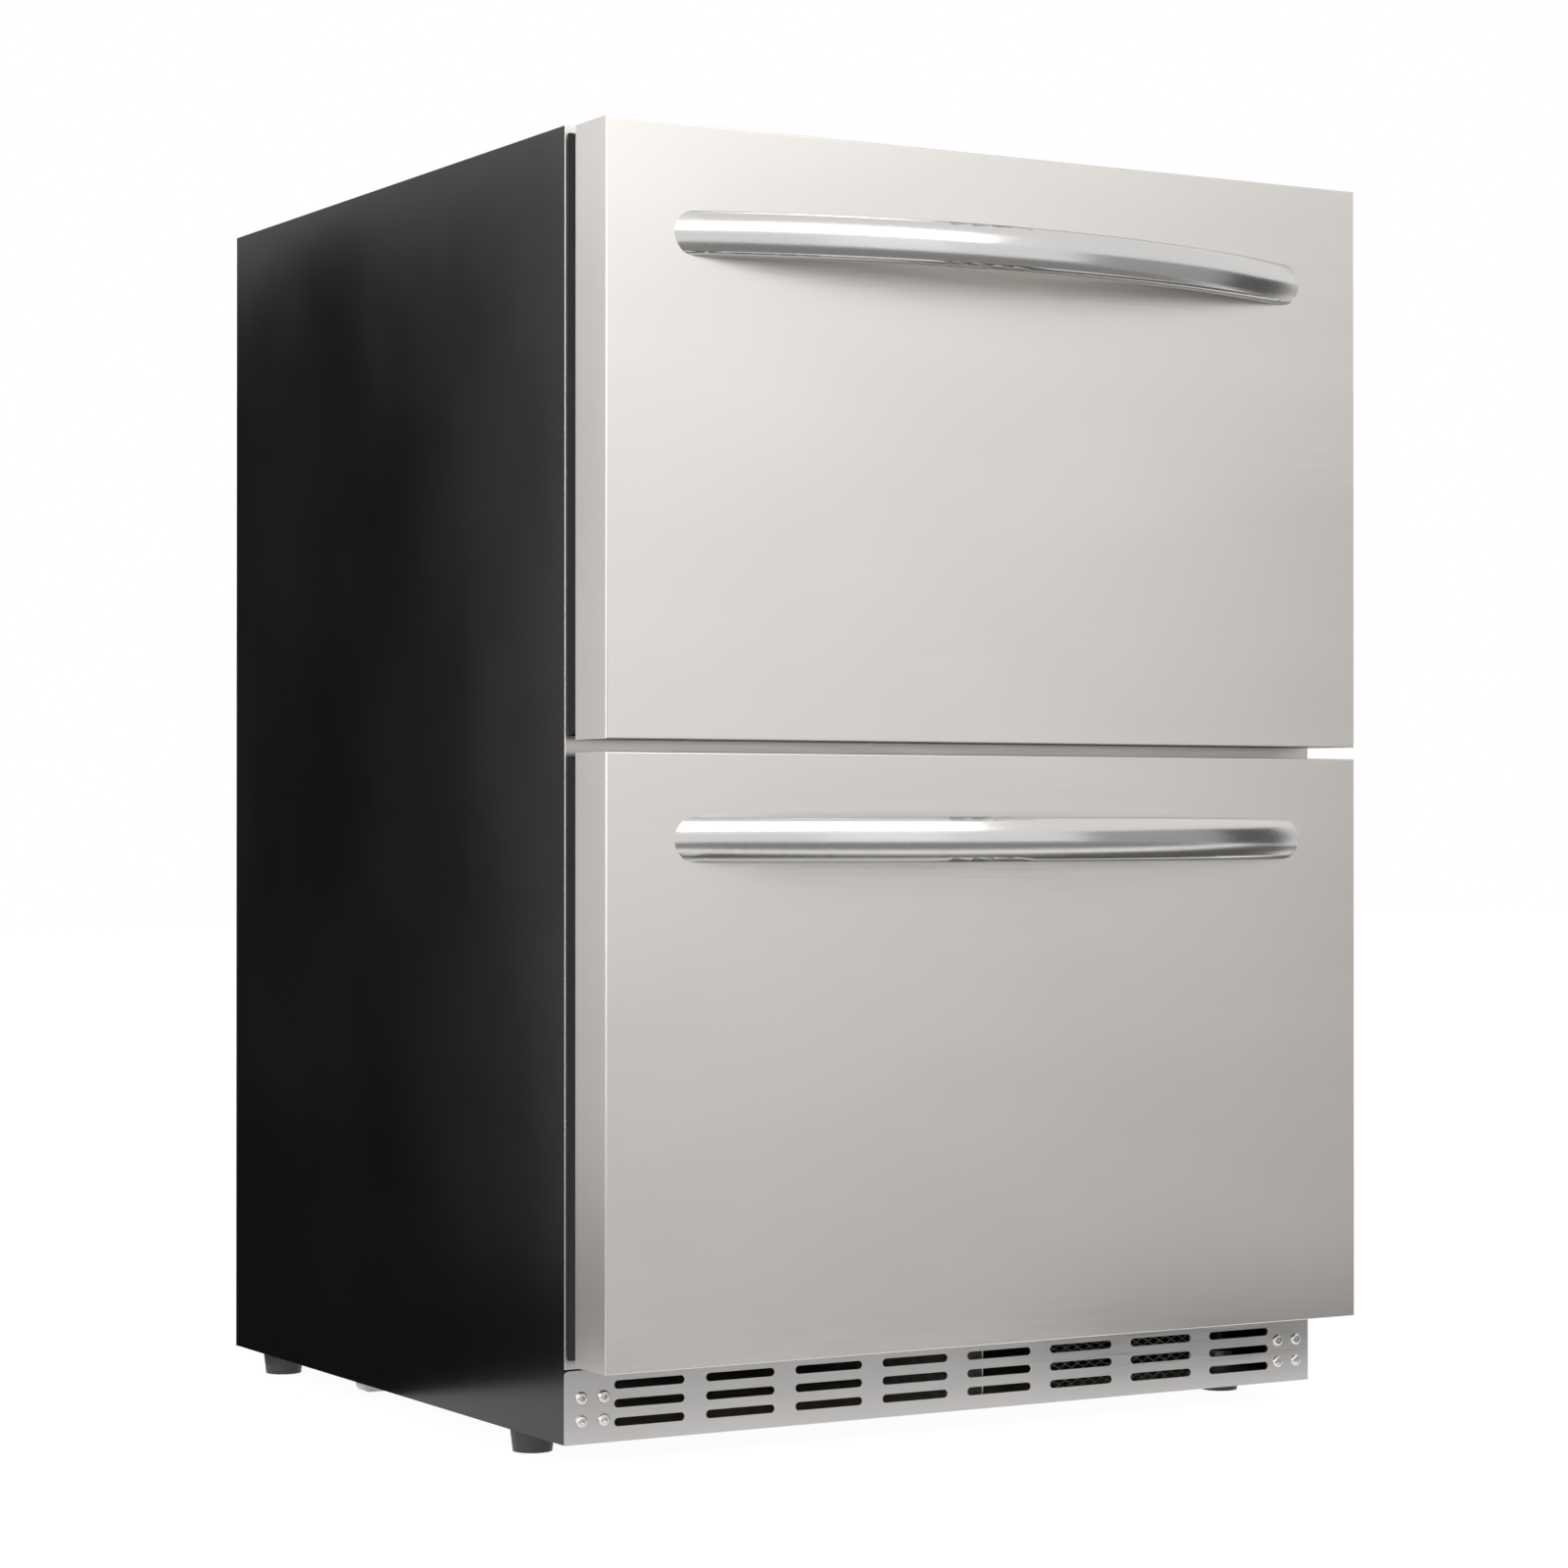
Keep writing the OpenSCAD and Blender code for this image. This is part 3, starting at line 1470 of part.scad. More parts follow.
left_side_panel();
right_side_panel();
top_panel();
back_panel();
base_pan();
front_frame();
mullion();
side_insulation();
top_insulation();
rear_insulation();
floor_insulation();
step_insulation();
inner_liner();
toe_grille();
panel_screws();
condenser_guard();
condenser_coil();
compressor();
compressor_plate();
fan_shroud();
condenser_fan_motor();
condenser_fan();
filter_drier();
refrigerant_lines();
drip_pan();
evaporator_coil();
evaporator_cover();
evaporator_fan_motor();
evaporator_fan();
temperature_probe();
control_housing();
control_display();
warmer_button();
colder_button();
interior_lamp();
cord_gland();
rear_vent_cover();
outer_rails();
upper_middle_rails();
lower_middle_rails();
front_left_foot();
front_right_foot();
rear_left_foot();
rear_right_foot();
upper_front_shell();
upper_front_core();
upper_inner_panel();
upper_gasket();
upper_handle();
upper_handle_screws();
upper_bin();
upper_inner_rails();
lower_front_shell();
lower_front_core();
lower_inner_panel();
lower_gasket();
lower_handle();
lower_handle_screws();
lower_bin();
lower_inner_rails();
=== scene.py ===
import json
import math

import bmesh
import bpy
from mathutils import Matrix, Vector


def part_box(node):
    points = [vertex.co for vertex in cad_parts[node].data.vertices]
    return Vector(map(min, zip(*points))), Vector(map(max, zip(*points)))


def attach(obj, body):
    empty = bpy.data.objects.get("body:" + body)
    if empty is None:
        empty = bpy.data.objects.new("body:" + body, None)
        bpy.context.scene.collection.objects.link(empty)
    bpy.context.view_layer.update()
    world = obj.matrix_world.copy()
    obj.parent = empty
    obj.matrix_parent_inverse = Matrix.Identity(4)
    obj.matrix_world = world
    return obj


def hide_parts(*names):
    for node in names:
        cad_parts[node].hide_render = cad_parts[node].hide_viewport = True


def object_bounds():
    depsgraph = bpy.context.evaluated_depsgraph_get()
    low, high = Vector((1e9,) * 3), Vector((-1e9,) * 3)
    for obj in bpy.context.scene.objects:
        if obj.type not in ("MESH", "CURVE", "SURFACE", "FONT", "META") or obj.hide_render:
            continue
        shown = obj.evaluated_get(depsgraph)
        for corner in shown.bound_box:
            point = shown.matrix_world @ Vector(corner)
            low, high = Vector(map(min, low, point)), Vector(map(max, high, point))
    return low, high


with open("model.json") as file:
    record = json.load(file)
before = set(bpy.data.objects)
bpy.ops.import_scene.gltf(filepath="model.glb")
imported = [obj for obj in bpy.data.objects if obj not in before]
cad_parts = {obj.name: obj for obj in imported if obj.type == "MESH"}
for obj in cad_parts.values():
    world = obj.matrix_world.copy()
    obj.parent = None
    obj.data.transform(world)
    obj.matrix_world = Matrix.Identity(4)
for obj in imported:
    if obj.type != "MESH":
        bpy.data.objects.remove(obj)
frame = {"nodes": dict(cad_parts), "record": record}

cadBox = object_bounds()
nodes = frame["nodes"]
mm = 0.001
print("stage: frame loaded,", len(nodes), "nodes")


# camera, where the photo was taken from
cameraView = {
    "place": (-1.4194, -2.43995, 0.4130),
    "turn": 30.075,      # degrees from +Y towards +X
    "tilt": 0.298,       # degrees upwards
    "lens": 89.09,
    "sensor": 36,
    "clip": (0.05, 100),
    "shiftUp": 0.01252,
}


def addCamera():
    data = bpy.data.cameras.new("productCamera")
    data.lens = cameraView["lens"]
    data.sensor_width = cameraView["sensor"]
    data.shift_y = cameraView["shiftUp"]
    data.clip_start, data.clip_end = cameraView["clip"]
    camera = bpy.data.objects.new("productCamera", data)
    camera.location = cameraView["place"]
    camera.rotation_euler = (math.radians(90 + cameraView["tilt"]), 0, -math.radians(cameraView["turn"]))
    bpy.context.scene.collection.objects.link(camera)
    bpy.context.scene.camera = camera


addCamera()
bpy.context.scene.view_settings.view_transform = "Standard"
print("stage: camera placed")


# node helpers for the finishes
def screenColour(red, green, blue):
    # a colour as a screen shows it, 0 to 255, turned to linear
    def linear(value):
        value /= 255
        return value / 12.92 if value <= 0.04045 else ((value + 0.055) / 1.055) ** 2.4
    return (linear(red), linear(green), linear(blue))


def startFinish(name, colour, metal=0.0, rough=0.5, **sockets):
    finish = bpy.data.materials.new(name)
    finish.use_nodes = True
    shader = finish.node_tree.nodes["Principled BSDF"]
    shader.inputs["Base Color"].default_value = (*colour, 1)
    shader.inputs["Metallic"].default_value = metal
    shader.inputs["Roughness"].default_value = rough
    for label, value in sockets.items():
        shader.inputs[label.replace("_", " ")].default_value = value
    return finish


def shaderOf(finish):
    return finish.node_tree.nodes["Principled BSDF"]


def objectPlace(finish, stretch=(1, 1, 1)):
    tree = finish.node_tree
    place = tree.nodes.new("ShaderNodeTexCoord")
    mapping = tree.nodes.new("ShaderNodeMapping")
    mapping.inputs["Scale"].default_value = stretch
    tree.links.new(place.outputs["Object"], mapping.inputs["Vector"])
    return mapping.outputs["Vector"]


def cloudPattern(finish, scale, stretch=(1, 1, 1), detail=3.0):
    noise = finish.node_tree.nodes.new("ShaderNodeTexNoise")
    noise.inputs["Scale"].default_value = scale
    noise.inputs["Detail"].default_value = detail
    finish.node_tree.links.new(objectPlace(finish, stretch), noise.inputs["Vector"])
    return noise.outputs["Fac"]


def cellPattern(finish, scale, feature="F1"):
    cells = finish.node_tree.nodes.new("ShaderNodeTexVoronoi")
    cells.feature = feature
    cells.inputs["Scale"].default_value = scale
    finish.node_tree.links.new(objectPlace(finish), cells.inputs["Vector"])
    return cells.outputs["Distance"]


def linePattern(finish, scale, axis):
    waves = finish.node_tree.nodes.new("ShaderNodeTexWave")
    waves.wave_profile = "SIN"
    waves.bands_direction = axis
    waves.inputs["Scale"].default_value = scale
    finish.node_tree.links.new(objectPlace(finish), waves.inputs["Vector"])
    return waves.outputs["Fac"]


# most of a pattern lies between these two values
patternLow, patternHigh = 0.3, 0.7


def varyColour(finish, pattern, dark, light, fromLow=patternLow, fromHigh=patternHigh):
    ramp = finish.node_tree.nodes.new("ShaderNodeValToRGB")
    ramp.color_ramp.elements[0].position = fromLow
    ramp.color_ramp.elements[0].color = (*dark, 1)
    ramp.color_ramp.elements[1].position = fromHigh
    ramp.color_ramp.elements[1].color = (*light, 1)
    finish.node_tree.links.new(pattern, ramp.inputs["Fac"])
    finish.node_tree.links.new(ramp.outputs["Color"], shaderOf(finish).inputs["Base Color"])


def varyRoughness(finish, pattern, low, high):
    tree = finish.node_tree
    spread = tree.nodes.new("ShaderNodeMapRange")
    limits = {"From Min": patternLow, "From Max": patternHigh, "To Min": low, "To Max": high}
    for label, value in limits.items():
        spread.inputs[label].default_value = value
    tree.links.new(pattern, spread.inputs["Value"])
    tree.links.new(spread.outputs["Result"], shaderOf(finish).inputs["Roughness"])


def raiseBy(finish, pattern, height, strength=1.0):
    # bumps stack: a new one starts from the one before it
    tree, normal = finish.node_tree, shaderOf(finish).inputs["Normal"]
    bump = tree.nodes.new("ShaderNodeBump")
    bump.inputs["Strength"].default_value = strength
    bump.inputs["Distance"].default_value = height
    tree.links.new(pattern, bump.inputs["Height"])
    if normal.is_linked:
        tree.links.new(normal.links[0].from_socket, bump.inputs["Normal"])
    tree.links.new(bump.outputs["Normal"], normal)


# stainless steel, ground along its length
steelGrain = {
    "finer": 40,            # times finer across the grain than along it
    "scale": 22,
    "patches": 3.5,
    "patchStretch": (1, 1, 2.2),
    "shade": 0.94,
    "roughSpread": 0.04,
    "height": 0.02 * mm,
}


def brushedSteel(name, colour, rough, grain, along="X"):
    stretch = [1 if axis == along else steelGrain["finer"] for axis in "XYZ"]
    finish = startFinish(name, colour, metal=1.0, rough=rough)
    lines = cloudPattern(finish, steelGrain["scale"], stretch, detail=4)
    patches = cloudPattern(finish, steelGrain["patches"], steelGrain["patchStretch"], detail=2)
    shade = tuple(channel * steelGrain["shade"] for channel in colour)
    varyColour(finish, patches, shade, colour)
    spread = grain * steelGrain["roughSpread"]
    varyRoughness(finish, lines, rough - spread, rough + spread)
    raiseBy(finish, lines, steelGrain["height"] * grain, 0.5)
    return finish


def blackPaint(name, colour, rough, peel):
    finish = startFinish(name, colour, rough=rough, Specular_IOR_Level=0.35, Specular_Tint=(1, 0.95, 0.9, 1))
    orangePeel = cloudPattern(finish, 420, detail=1)
    dust = cloudPattern(finish, 5, detail=5)
    varyColour(finish, dust, colour, tuple(channel * 1.25 for channel in colour))
    varyRoughness(finish, dust, rough - 0.03, rough + 0.04)
    raiseBy(finish, orangePeel, 0.00003 * peel, 0.4)
    return finish


def galvanised(name):
    finish = startFinish(name, screenColour(196, 198, 199), metal=0.6, rough=0.45)
    spangle = cellPattern(finish, 95)
    haze = cloudPattern(finish, 30, detail=5)
    varyColour(finish, spangle, screenColour(176, 179, 181), screenColour(206, 208, 209), 0.1, 0.8)
    varyRoughness(finish, haze, 0.34, 0.5)
    raiseBy(finish, spangle, 0.00003, 0.4)
    return finish


def foamSkin(name):
    finish = startFinish(name, screenColour(226, 208, 158), rough=0.85)
    bubbles = cellPattern(finish, 700)
    flow = cloudPattern(finish, 14, detail=5)
    varyColour(finish, flow, screenColour(204, 178, 120), screenColour(234, 220, 176))
    raiseBy(finish, bubbles, 0.0006, 0.6)
    return finish


def linerSheet(name):
    # aluminium with a fine hammered pattern
    finish = startFinish(name, screenColour(214, 216, 217), metal=1.0, rough=0.38)
    dimples = cellPattern(finish, 330, feature="SMOOTH_F1")
    haze = cloudPattern(finish, 9, detail=3)
    varyColour(finish, haze, screenColour(204, 207, 208), screenColour(222, 223, 224))
    raiseBy(finish, dimples, 0.0004, 0.35)
    return finish


def softRubber(name):
    finish = startFinish(name, screenColour(24, 22, 21), rough=0.7, Specular_IOR_Level=0.3)
    bloom = cloudPattern(finish, 40, detail=6)
    varyColour(finish, bloom, screenColour(20, 19, 18), screenColour(29, 27, 26))
    varyRoughness(finish, bloom, 0.5, 0.68)
    raiseBy(finish, cloudPattern(finish, 900, detail=2), 0.00006, 0.5)
    return finish


def mouldedPlastic(name, dark, light, rough):
    finish = startFinish(name, light, rough=rough, IOR=1.48)
    varyColour(finish, cloudPattern(finish, 12, detail=4), dark, light)
    raiseBy(finish, cloudPattern(finish, 1400, detail=2), 0.00006, 0.5)
    varyRoughness(finish, cloudPattern(finish, 60, detail=3), rough - 0.05, rough + 0.06)
    return finish


def zincSteel(name):
    finish = startFinish(name, screenColour(190, 194, 198), metal=1.0, rough=0.3)
    streaks = cloudPattern(finish, 12, (30, 1, 30), detail=4)
    varyColour(finish, streaks, screenColour(172, 176, 181), screenColour(204, 206, 208))
    varyRoughness(finish, streaks, 0.24, 0.4)
    return finish


def rolledCopper(name):
    finish = startFinish(name, screenColour(196, 122, 84), metal=1.0, rough=0.3)
    tarnish = cloudPattern(finish, 26, detail=6)
    varyColour(finish, tarnish, screenColour(138, 78, 52), screenColour(208, 136, 98))
    varyRoughness(finish, tarnish, 0.22, 0.48)
    return finish


def enamel(name):
    finish = startFinish(name, screenColour(30, 31, 32), rough=0.28, Coat_Weight=0.5, Coat_Roughness=0.12)
    runs = cloudPattern(finish, 60, detail=2)
    varyColour(finish, runs, screenColour(24, 25, 26), screenColour(36, 37, 38))
    raiseBy(finish, runs, 0.00025, 0.4)
    return finish


def darkGlass(name):
    finish = startFinish(name, screenColour(12, 15, 18), rough=0.08, IOR=1.52)
    varyRoughness(finish, cloudPattern(finish, 30, detail=4), 0.05, 0.12)
    varyColour(finish, cloudPattern(finish, 8), screenColour(9, 12, 15), screenColour(16, 19, 23))
    return finish


def frostedLens(name):
    finish = startFinish(name, screenColour(244, 242, 230), rough=0.4, Transmission_Weight=0.25, IOR=1.49)
    raiseBy(finish, linePattern(finish, 90, "X"), 0.0003, 0.6)
    varyColour(finish, cloudPattern(finish, 20), screenColour(236, 233, 216), screenColour(248, 247, 240))
    return finish


def finDull(name):
    finish = startFinish(name, screenColour(188, 191, 193), metal=1.0, rough=0.42)
    patches = cloudPattern(finish, 35, detail=5)
    varyColour(finish, patches, screenColour(160, 163, 165), screenColour(202, 204, 205))
    varyRoughness(finish, cloudPattern(finish, 90, detail=3), 0.34, 0.52)
    return finish


finishes = {
    "painted_black": blackPaint("satinBlackPaint", (0.0026, 0.0021, 0.0017), 0.2, 1.0),
    "black_sheet": blackPaint("matBlackSheet", (0.009, 0.009, 0.0095), 0.48, 2.0),
    "galvanised_steel": galvanised("galvanisedSheet"),
    "stainless_frame": brushedSteel("frameSteel", (0.66, 0.645, 0.63), 0.3, 0.7),
    "stainless_grille": brushedSteel("grilleSteel", (0.57, 0.555, 0.545), 0.34, 1.6),
    "stainless_front": brushedSteel("frontSteel", (0.73, 0.70, 0.67), 0.32, 1.0),
    "polished_handle": brushedSteel("handleSteel", (0.64, 0.63, 0.62), 0.17, 0.7),
    "bright_screw": brushedSteel("screwSteel", (0.72, 0.71, 0.70), 0.2, 0.6),
    "dark_screw": brushedSteel("darkScrewSteel", (0.12, 0.12, 0.12), 0.35, 0.6),
    "insulation_foam": foamSkin("pourFoam"),
    "liner_aluminium": linerSheet("hammeredLiner"),
    "gasket_rubber": softRubber("gasketRubber"),
    "bin_steel": brushedSteel("binSteel", (0.62, 0.61, 0.60), 0.3, 0.7, "Y"),
    "slide_steel": zincSteel("slideZinc"),
    "white_plastic":
        mouldedPlastic("whiteAbs", screenColour(222, 224, 224), screenColour(236, 237, 236), 0.4),
    "black_plastic": mouldedPlastic("blackAbs", screenColour(34, 35, 36), screenColour(44, 45, 46), 0.45),
    "guard_mesh": finDull("guardZinc"),
    "coil_metal": finDull("coilAluminium"),
    "copper": rolledCopper("drawnCopper"),
    "compressor_enamel": enamel("compressorEnamel"),
    "display_glass": darkGlass("displayGlass"),
    "button_metal": brushedSteel("buttonSteel", (0.7, 0.69, 0.68), 0.25, 0.8),
    "lamp_diffuser": frostedLens("lampLens"),
    "foot_plastic": mouldedPlastic("footNylon", screenColour(54, 54, 56), screenColour(66, 66, 68), 0.5),
}
print("stage: finishes made,", len(finishes))


slotOf = {part["node"]: part["material_slot"] for part in frame["record"]["subparts"]}
bodyOf = {node: body for body, members in frame["record"]["behaviour"]["bodies"].items() for node in members}


def dressNodes():
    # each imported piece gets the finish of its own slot
    for node, slot in slotOf.items():
        nodes[node].data.materials.clear()
        nodes[node].data.materials.append(finishes[slot])


dressNodes()
print("stage: packed pieces dressed")


# studio: white floor and surround, soft lamps, and dark cards that only show in reflections
studio = {
    "floorSize": 24.0,
    "floorColour": (0.80, 0.80, 0.80),
    "floorRough": 0.9,
    "floorGlow": 1.15,
    "floorGlowShare": 0.8,
    "ambient": 0.62,
}
# name: width, height, power, place
lamps = {
    "frontBox": (2.9, 1.1, 24.0, (-0.1, -3.0, 2.1)),
    "leftStrip": (0.5, 2.2, 26.0, (-2.7, -1.7, 1.15)),
    "topBox": (1.6, 1.6, 16.0, (0.2, 0.6, 2.9)),
}
# name: grey level, size across and deep, place of its middle, turn about X, turn about Z
cards = {
    "nearLeftCard": (0.65, (0.6, 0.26), (-0.1, -0.49, 0.005), 0, 0),
    "nearFloorCard": (0.12, (3.6, 0.5), (0.7, -0.6, 0.004), 0, 0),
    "middleFloorCard": (1.1, (3.6, 0.34), (0.7, -1.02, 0.004), 0, 0),
    "farFloorCard": (0.3, (3.6, 2.2), (0.7, -2.29, 0.004), 0, 0),
    "lowFillCard": (1.2, (0.9, 1.1), (0.35, -2.9, 0.75), 90, 0),
    "sideFloorCard": (0.03, (2.4, 2.9), (-1.5, 1.55, 0.004), 0, 0),
    "sideCard": (0.02, (2.5, 1.09), (-0.9, 2.17, 0.545), 90, 90),
    "sideGlowCard": (1.4, (0.35, 1.12), (-0.9, 0.66, 0.56), 90, 90),
    "ceilingCard": (0.10, (3.4, 1.6), (0.6, 1.4, 2.4), 0, 0),
    "rightCard": (0.45, (1.8, 1.3), (2.5, -1.9, 0.62), 90, 60),
    "farRightCard": (0.1, (0.9, 1.15), (2.8, -1.05, 0.575), 90, 90),
}


def clearSelection():
    bpy.ops.object.select_all(action="DESELECT")


def seenDirectly(tree):
    # 1 for what the camera, mirrors and glass look at, and 0 for all other light
    light = tree.nodes.new("ShaderNodeLightPath")
    seen = light.outputs["Is Camera Ray"]
    for ray in ("Is Glossy Ray", "Is Transmission Ray"):
        either = tree.nodes.new("ShaderNodeMath")
        either.operation = "MAXIMUM"
        tree.links.new(seen, either.inputs[0])
        tree.links.new(light.outputs[ray], either.inputs[1])
        seen = either.outputs["Value"]
    return seen


def addFloor():
    clearSelection()
    bpy.ops.mesh.primitive_plane_add(size=studio["floorSize"])
    floor = bpy.context.object
    floor.name = "studioFloor"
    paper = startFinish("floorPaper", studio["floorColour"], rough=studio["floorRough"])
    tree = paper.node_tree
    glow = tree.nodes.new("ShaderNodeEmission")
    glow.inputs["Strength"].default_value = studio["floorGlow"]
    weight = tree.nodes.new("ShaderNodeMath")
    weight.operation = "MULTIPLY"
    weight.inputs[1].default_value = studio["floorGlowShare"]
    tree.links.new(seenDirectly(tree), weight.inputs[0])
    mix = tree.nodes.new("ShaderNodeMixShader")
    tree.links.new(weight.outputs["Value"], mix.inputs["Fac"])
    tree.links.new(shaderOf(paper).outputs["BSDF"], mix.inputs[1])
    tree.links.new(glow.outputs["Emission"], mix.inputs[2])
    tree.links.new(mix.outputs["Shader"], tree.nodes["Material Output"].inputs["Surface"])
    floor.data.materials.append(paper)


def addSurround():
    world = bpy.data.worlds.new("studioSurround")
    bpy.context.scene.world = world
    world.use_nodes = True
    tree = world.node_tree
    backdrop = tree.nodes["Background"]
    strength = tree.nodes.new("ShaderNodeMapRange")
    strength.inputs["To Min"].default_value = studio["ambient"]
    strength.inputs["To Max"].default_value = 1.0
    tree.links.new(seenDirectly(tree), strength.inputs["Value"])
    tree.links.new(strength.outputs["Result"], backdrop.inputs["Strength"])
    backdrop.inputs["Color"].default_value = (1, 1, 1, 1)


def addLamp(name, width, height, power, place):
    data = bpy.data.lights.new(name, "AREA")
    data.shape = "RECTANGLE"
    data.size, data.size_y = width, height
    data.energy = power
    lamp = bpy.data.objects.new(name, data)
    lamp.location = place
    lamp.rotation_mode = "QUATERNION"
    aim = (cadBox[0] + cadBox[1]) / 2
    lamp.rotation_quaternion = (aim - Vector(place)).to_track_quat("-Z", "Y")
    lamp.visible_camera = False
    bpy.context.scene.collection.objects.link(lamp)


def addCard(name, grey, size, place, tilt, turn):
    clearSelection()
    bpy.ops.mesh.primitive_plane_add(size=1, location=place)
    card = bpy.context.object
    card.name = name
    card.scale = (*size, 1)
    card.rotation_euler = (math.radians(tilt), 0, math.radians(turn))
    paper = bpy.data.materials.new(name)
    paper.use_nodes = True
    glow = paper.node_tree.nodes.new("ShaderNodeEmission")
    glow.inputs["Color"].default_value = (grey, grey, grey, 1)
    output = paper.node_tree.nodes["Material Output"]
    paper.node_tree.links.new(glow.outputs["Emission"], output.inputs["Surface"])
    card.data.materials.append(paper)
    card.visible_camera = card.visible_diffuse = card.visible_shadow = card.visible_transmission = False


addFloor()
addSurround()
for name, row in lamps.items():
    addLamp(name, *row)
for name, row in cards.items():
    addCard(name, *row)
print("stage: studio lit")


# modelling helpers: primitives at size, faces and edges picked by place
hair = 0.01 * mm          # places closer than this are the same
weld = 0.001 * mm


def activate(piece):
    clearSelection()
    piece.select_set(True)
    bpy.context.view_layer.objects.active = piece


def settle(piece, name):
    # the piece's place goes into its mesh
    piece.name = piece.data.name = name
    activate(piece)
    bpy.ops.object.transform_apply(location=True, rotation=True, scale=True)
    return piece


def addBlock(name, low, high):
    clearSelection()
    bpy.ops.mesh.primitive_cube_add(size=1, location=[(a + b) / 2 for a, b in zip(low, high)])
    bpy.context.object.scale = [b - a for a, b in zip(low, high)]
    return settle(bpy.context.object, name)


# turns a rod that stands along Z to lie along another axis
turnTo = {"X": (0, math.pi / 2, 0), "Y": (math.pi / 2, 0, 0), "Z": (0, 0, 0)}


def addRod(name, radius, length, place, along="Z", sides=32):
    clearSelection()
    bpy.ops.mesh.primitive_cylinder_add(vertices=sides, radius=radius, depth=length, location=place)
    bpy.context.object.rotation_euler = turnTo[along]
    return settle(bpy.context.object, name)


def startEdit(piece):
    activate(piece)
    bpy.ops.object.mode_set(mode="EDIT")
    bpy.ops.mesh.select_all(action="DESELECT")


def endEdit():
    bpy.ops.object.mode_set(mode="OBJECT")


def pickParts(piece, mode, kind, wanted):
    bpy.ops.mesh.select_mode(type=mode)
    bpy.ops.mesh.select_all(action="DESELECT")
    shape = bmesh.from_edit_mesh(piece.data)
    for part in getattr(shape, kind):
        if wanted(part):
            part.select_set(True)
    bmesh.update_edit_mesh(piece.data)


def pickFaces(piece, wanted):
    # by the middle of a face and its normal
    pickParts(piece, "FACE", "faces", lambda face: wanted(face.calc_center_median(), face.normal))


def pickEdges(piece, wanted):
    # by the middle of an edge and the way it runs
    def fits(edge):
        start, end = edge.verts[0].co, edge.verts[1].co
        return wanted((start + end) / 2, (end - start).normalized())
    pickParts(piece, "EDGE", "edges", fits)


def pickPoints(piece, wanted):
    pickParts(piece, "VERT", "verts", lambda point: wanted(point.co))


# tests for the pickers above
square = 0.9              # share of a direction that counts as lying along an axis


def facing(axis, side=""):
    # faces that look along an axis: side is + or -, or empty for both
    def fits(middle, normal):
        along = getattr(normal, axis)
        return {"+": along, "-": -along, "": abs(along)}[side] > square
    return fits


def running(axis):
    return lambda middle, run: abs(getattr(run, axis)) > square


def pushOut(x, y, z):
    bpy.ops.mesh.extrude_region_move(TRANSFORM_OT_translate={"value": (x, y, z)})


def roundEdges(width, steps):
    bpy.ops.mesh.bevel(offset=width, segments=steps, affect="EDGES")


def roundFaces(piece, wanted, width, steps):
    startEdit(piece)
    pickFaces(piece, wanted)
    roundEdges(width, steps)
    endEdit()


def roundCorners(piece, wanted, width, steps):
    startEdit(piece)
    pickEdges(piece, wanted)
    roundEdges(width, steps)
    endEdit()


def insetFaces(width, **settings):
    bpy.ops.mesh.inset(thickness=width, **settings)


def cutAcross(place, direction, **settings):
    bpy.ops.mesh.select_all(action="SELECT")
    bpy.ops.mesh.bisect(plane_co=place, plane_no=direction, **settings)


def near(a, b):
    return abs(a - b) < hair


def applyModifier(piece, kind, **settings):
    activate(piece)
    modifier = piece.modifiers.new(kind.title(), kind)
    for label, value in settings.items():
        setattr(modifier, label, value)
    bpy.ops.object.modifier_apply(modifier=modifier.name)


def softenPiece(piece, width, steps, fromAngle):
    # rounds every edge that turns by more than the angle, in radians
    applyModifier(piece, "BEVEL", width=width, segments=steps, limit_method="ANGLE", angle_limit=fromAngle)


def cutAway(piece, tool):
    applyModifier(piece, "BOOLEAN", operation="DIFFERENCE", object=tool)


def discard(piece):
    bpy.data.objects.remove(piece)


def boxOf(node):
    low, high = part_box(node)
    return low, high, (low + high) / 2


def copyPiece(piece, move, turn=0, axis="Z"):
    twin = piece.copy()
    twin.data = piece.data.copy()
    twin.data.transform(Matrix.Translation(move) @ Matrix.Rotation(turn, 4, axis))
    bpy.context.scene.collection.objects.link(twin)
    return twin


def joinPieces(name, pieces):
    clearSelection()
    for piece in pieces:
        piece.select_set(True)
    bpy.context.view_layer.objects.active = pieces[0]
    if len(pieces) > 1:
        bpy.ops.object.join()
    return settle(bpy.context.object, name)


def copyNode(node, name):
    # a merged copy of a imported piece, free to be reshaped
    piece = nodes[node].copy()
    piece.data = nodes[node].data.copy()
    piece.parent = None
    for label in list(piece.keys()):
        del piece[label]
    bpy.context.scene.collection.objects.link(piece)
    piece.name = piece.data.name = name
    startEdit(piece)
    bpy.ops.mesh.select_all(action="SELECT")
    bpy.ops.mesh.remove_doubles(threshold=weld)
    bpy.ops.mesh.dissolve_limited(angle_limit=math.radians(1))
    endEdit()
    return piece


def looseBoxes(node):
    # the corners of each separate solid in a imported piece
    activate(copyNode(node, "spareCopy"))
    bpy.ops.mesh.separate(type="LOOSE")
    boxes = []
    for part in list(bpy.context.selected_objects):
        corners = [point.co for point in part.data.vertices]
        boxes.append((Vector([min(place[i] for place in corners) for i in range(3)]),
                      Vector([max(place[i] for place in corners) for i in range(3)])))
        discard(part)
    return boxes


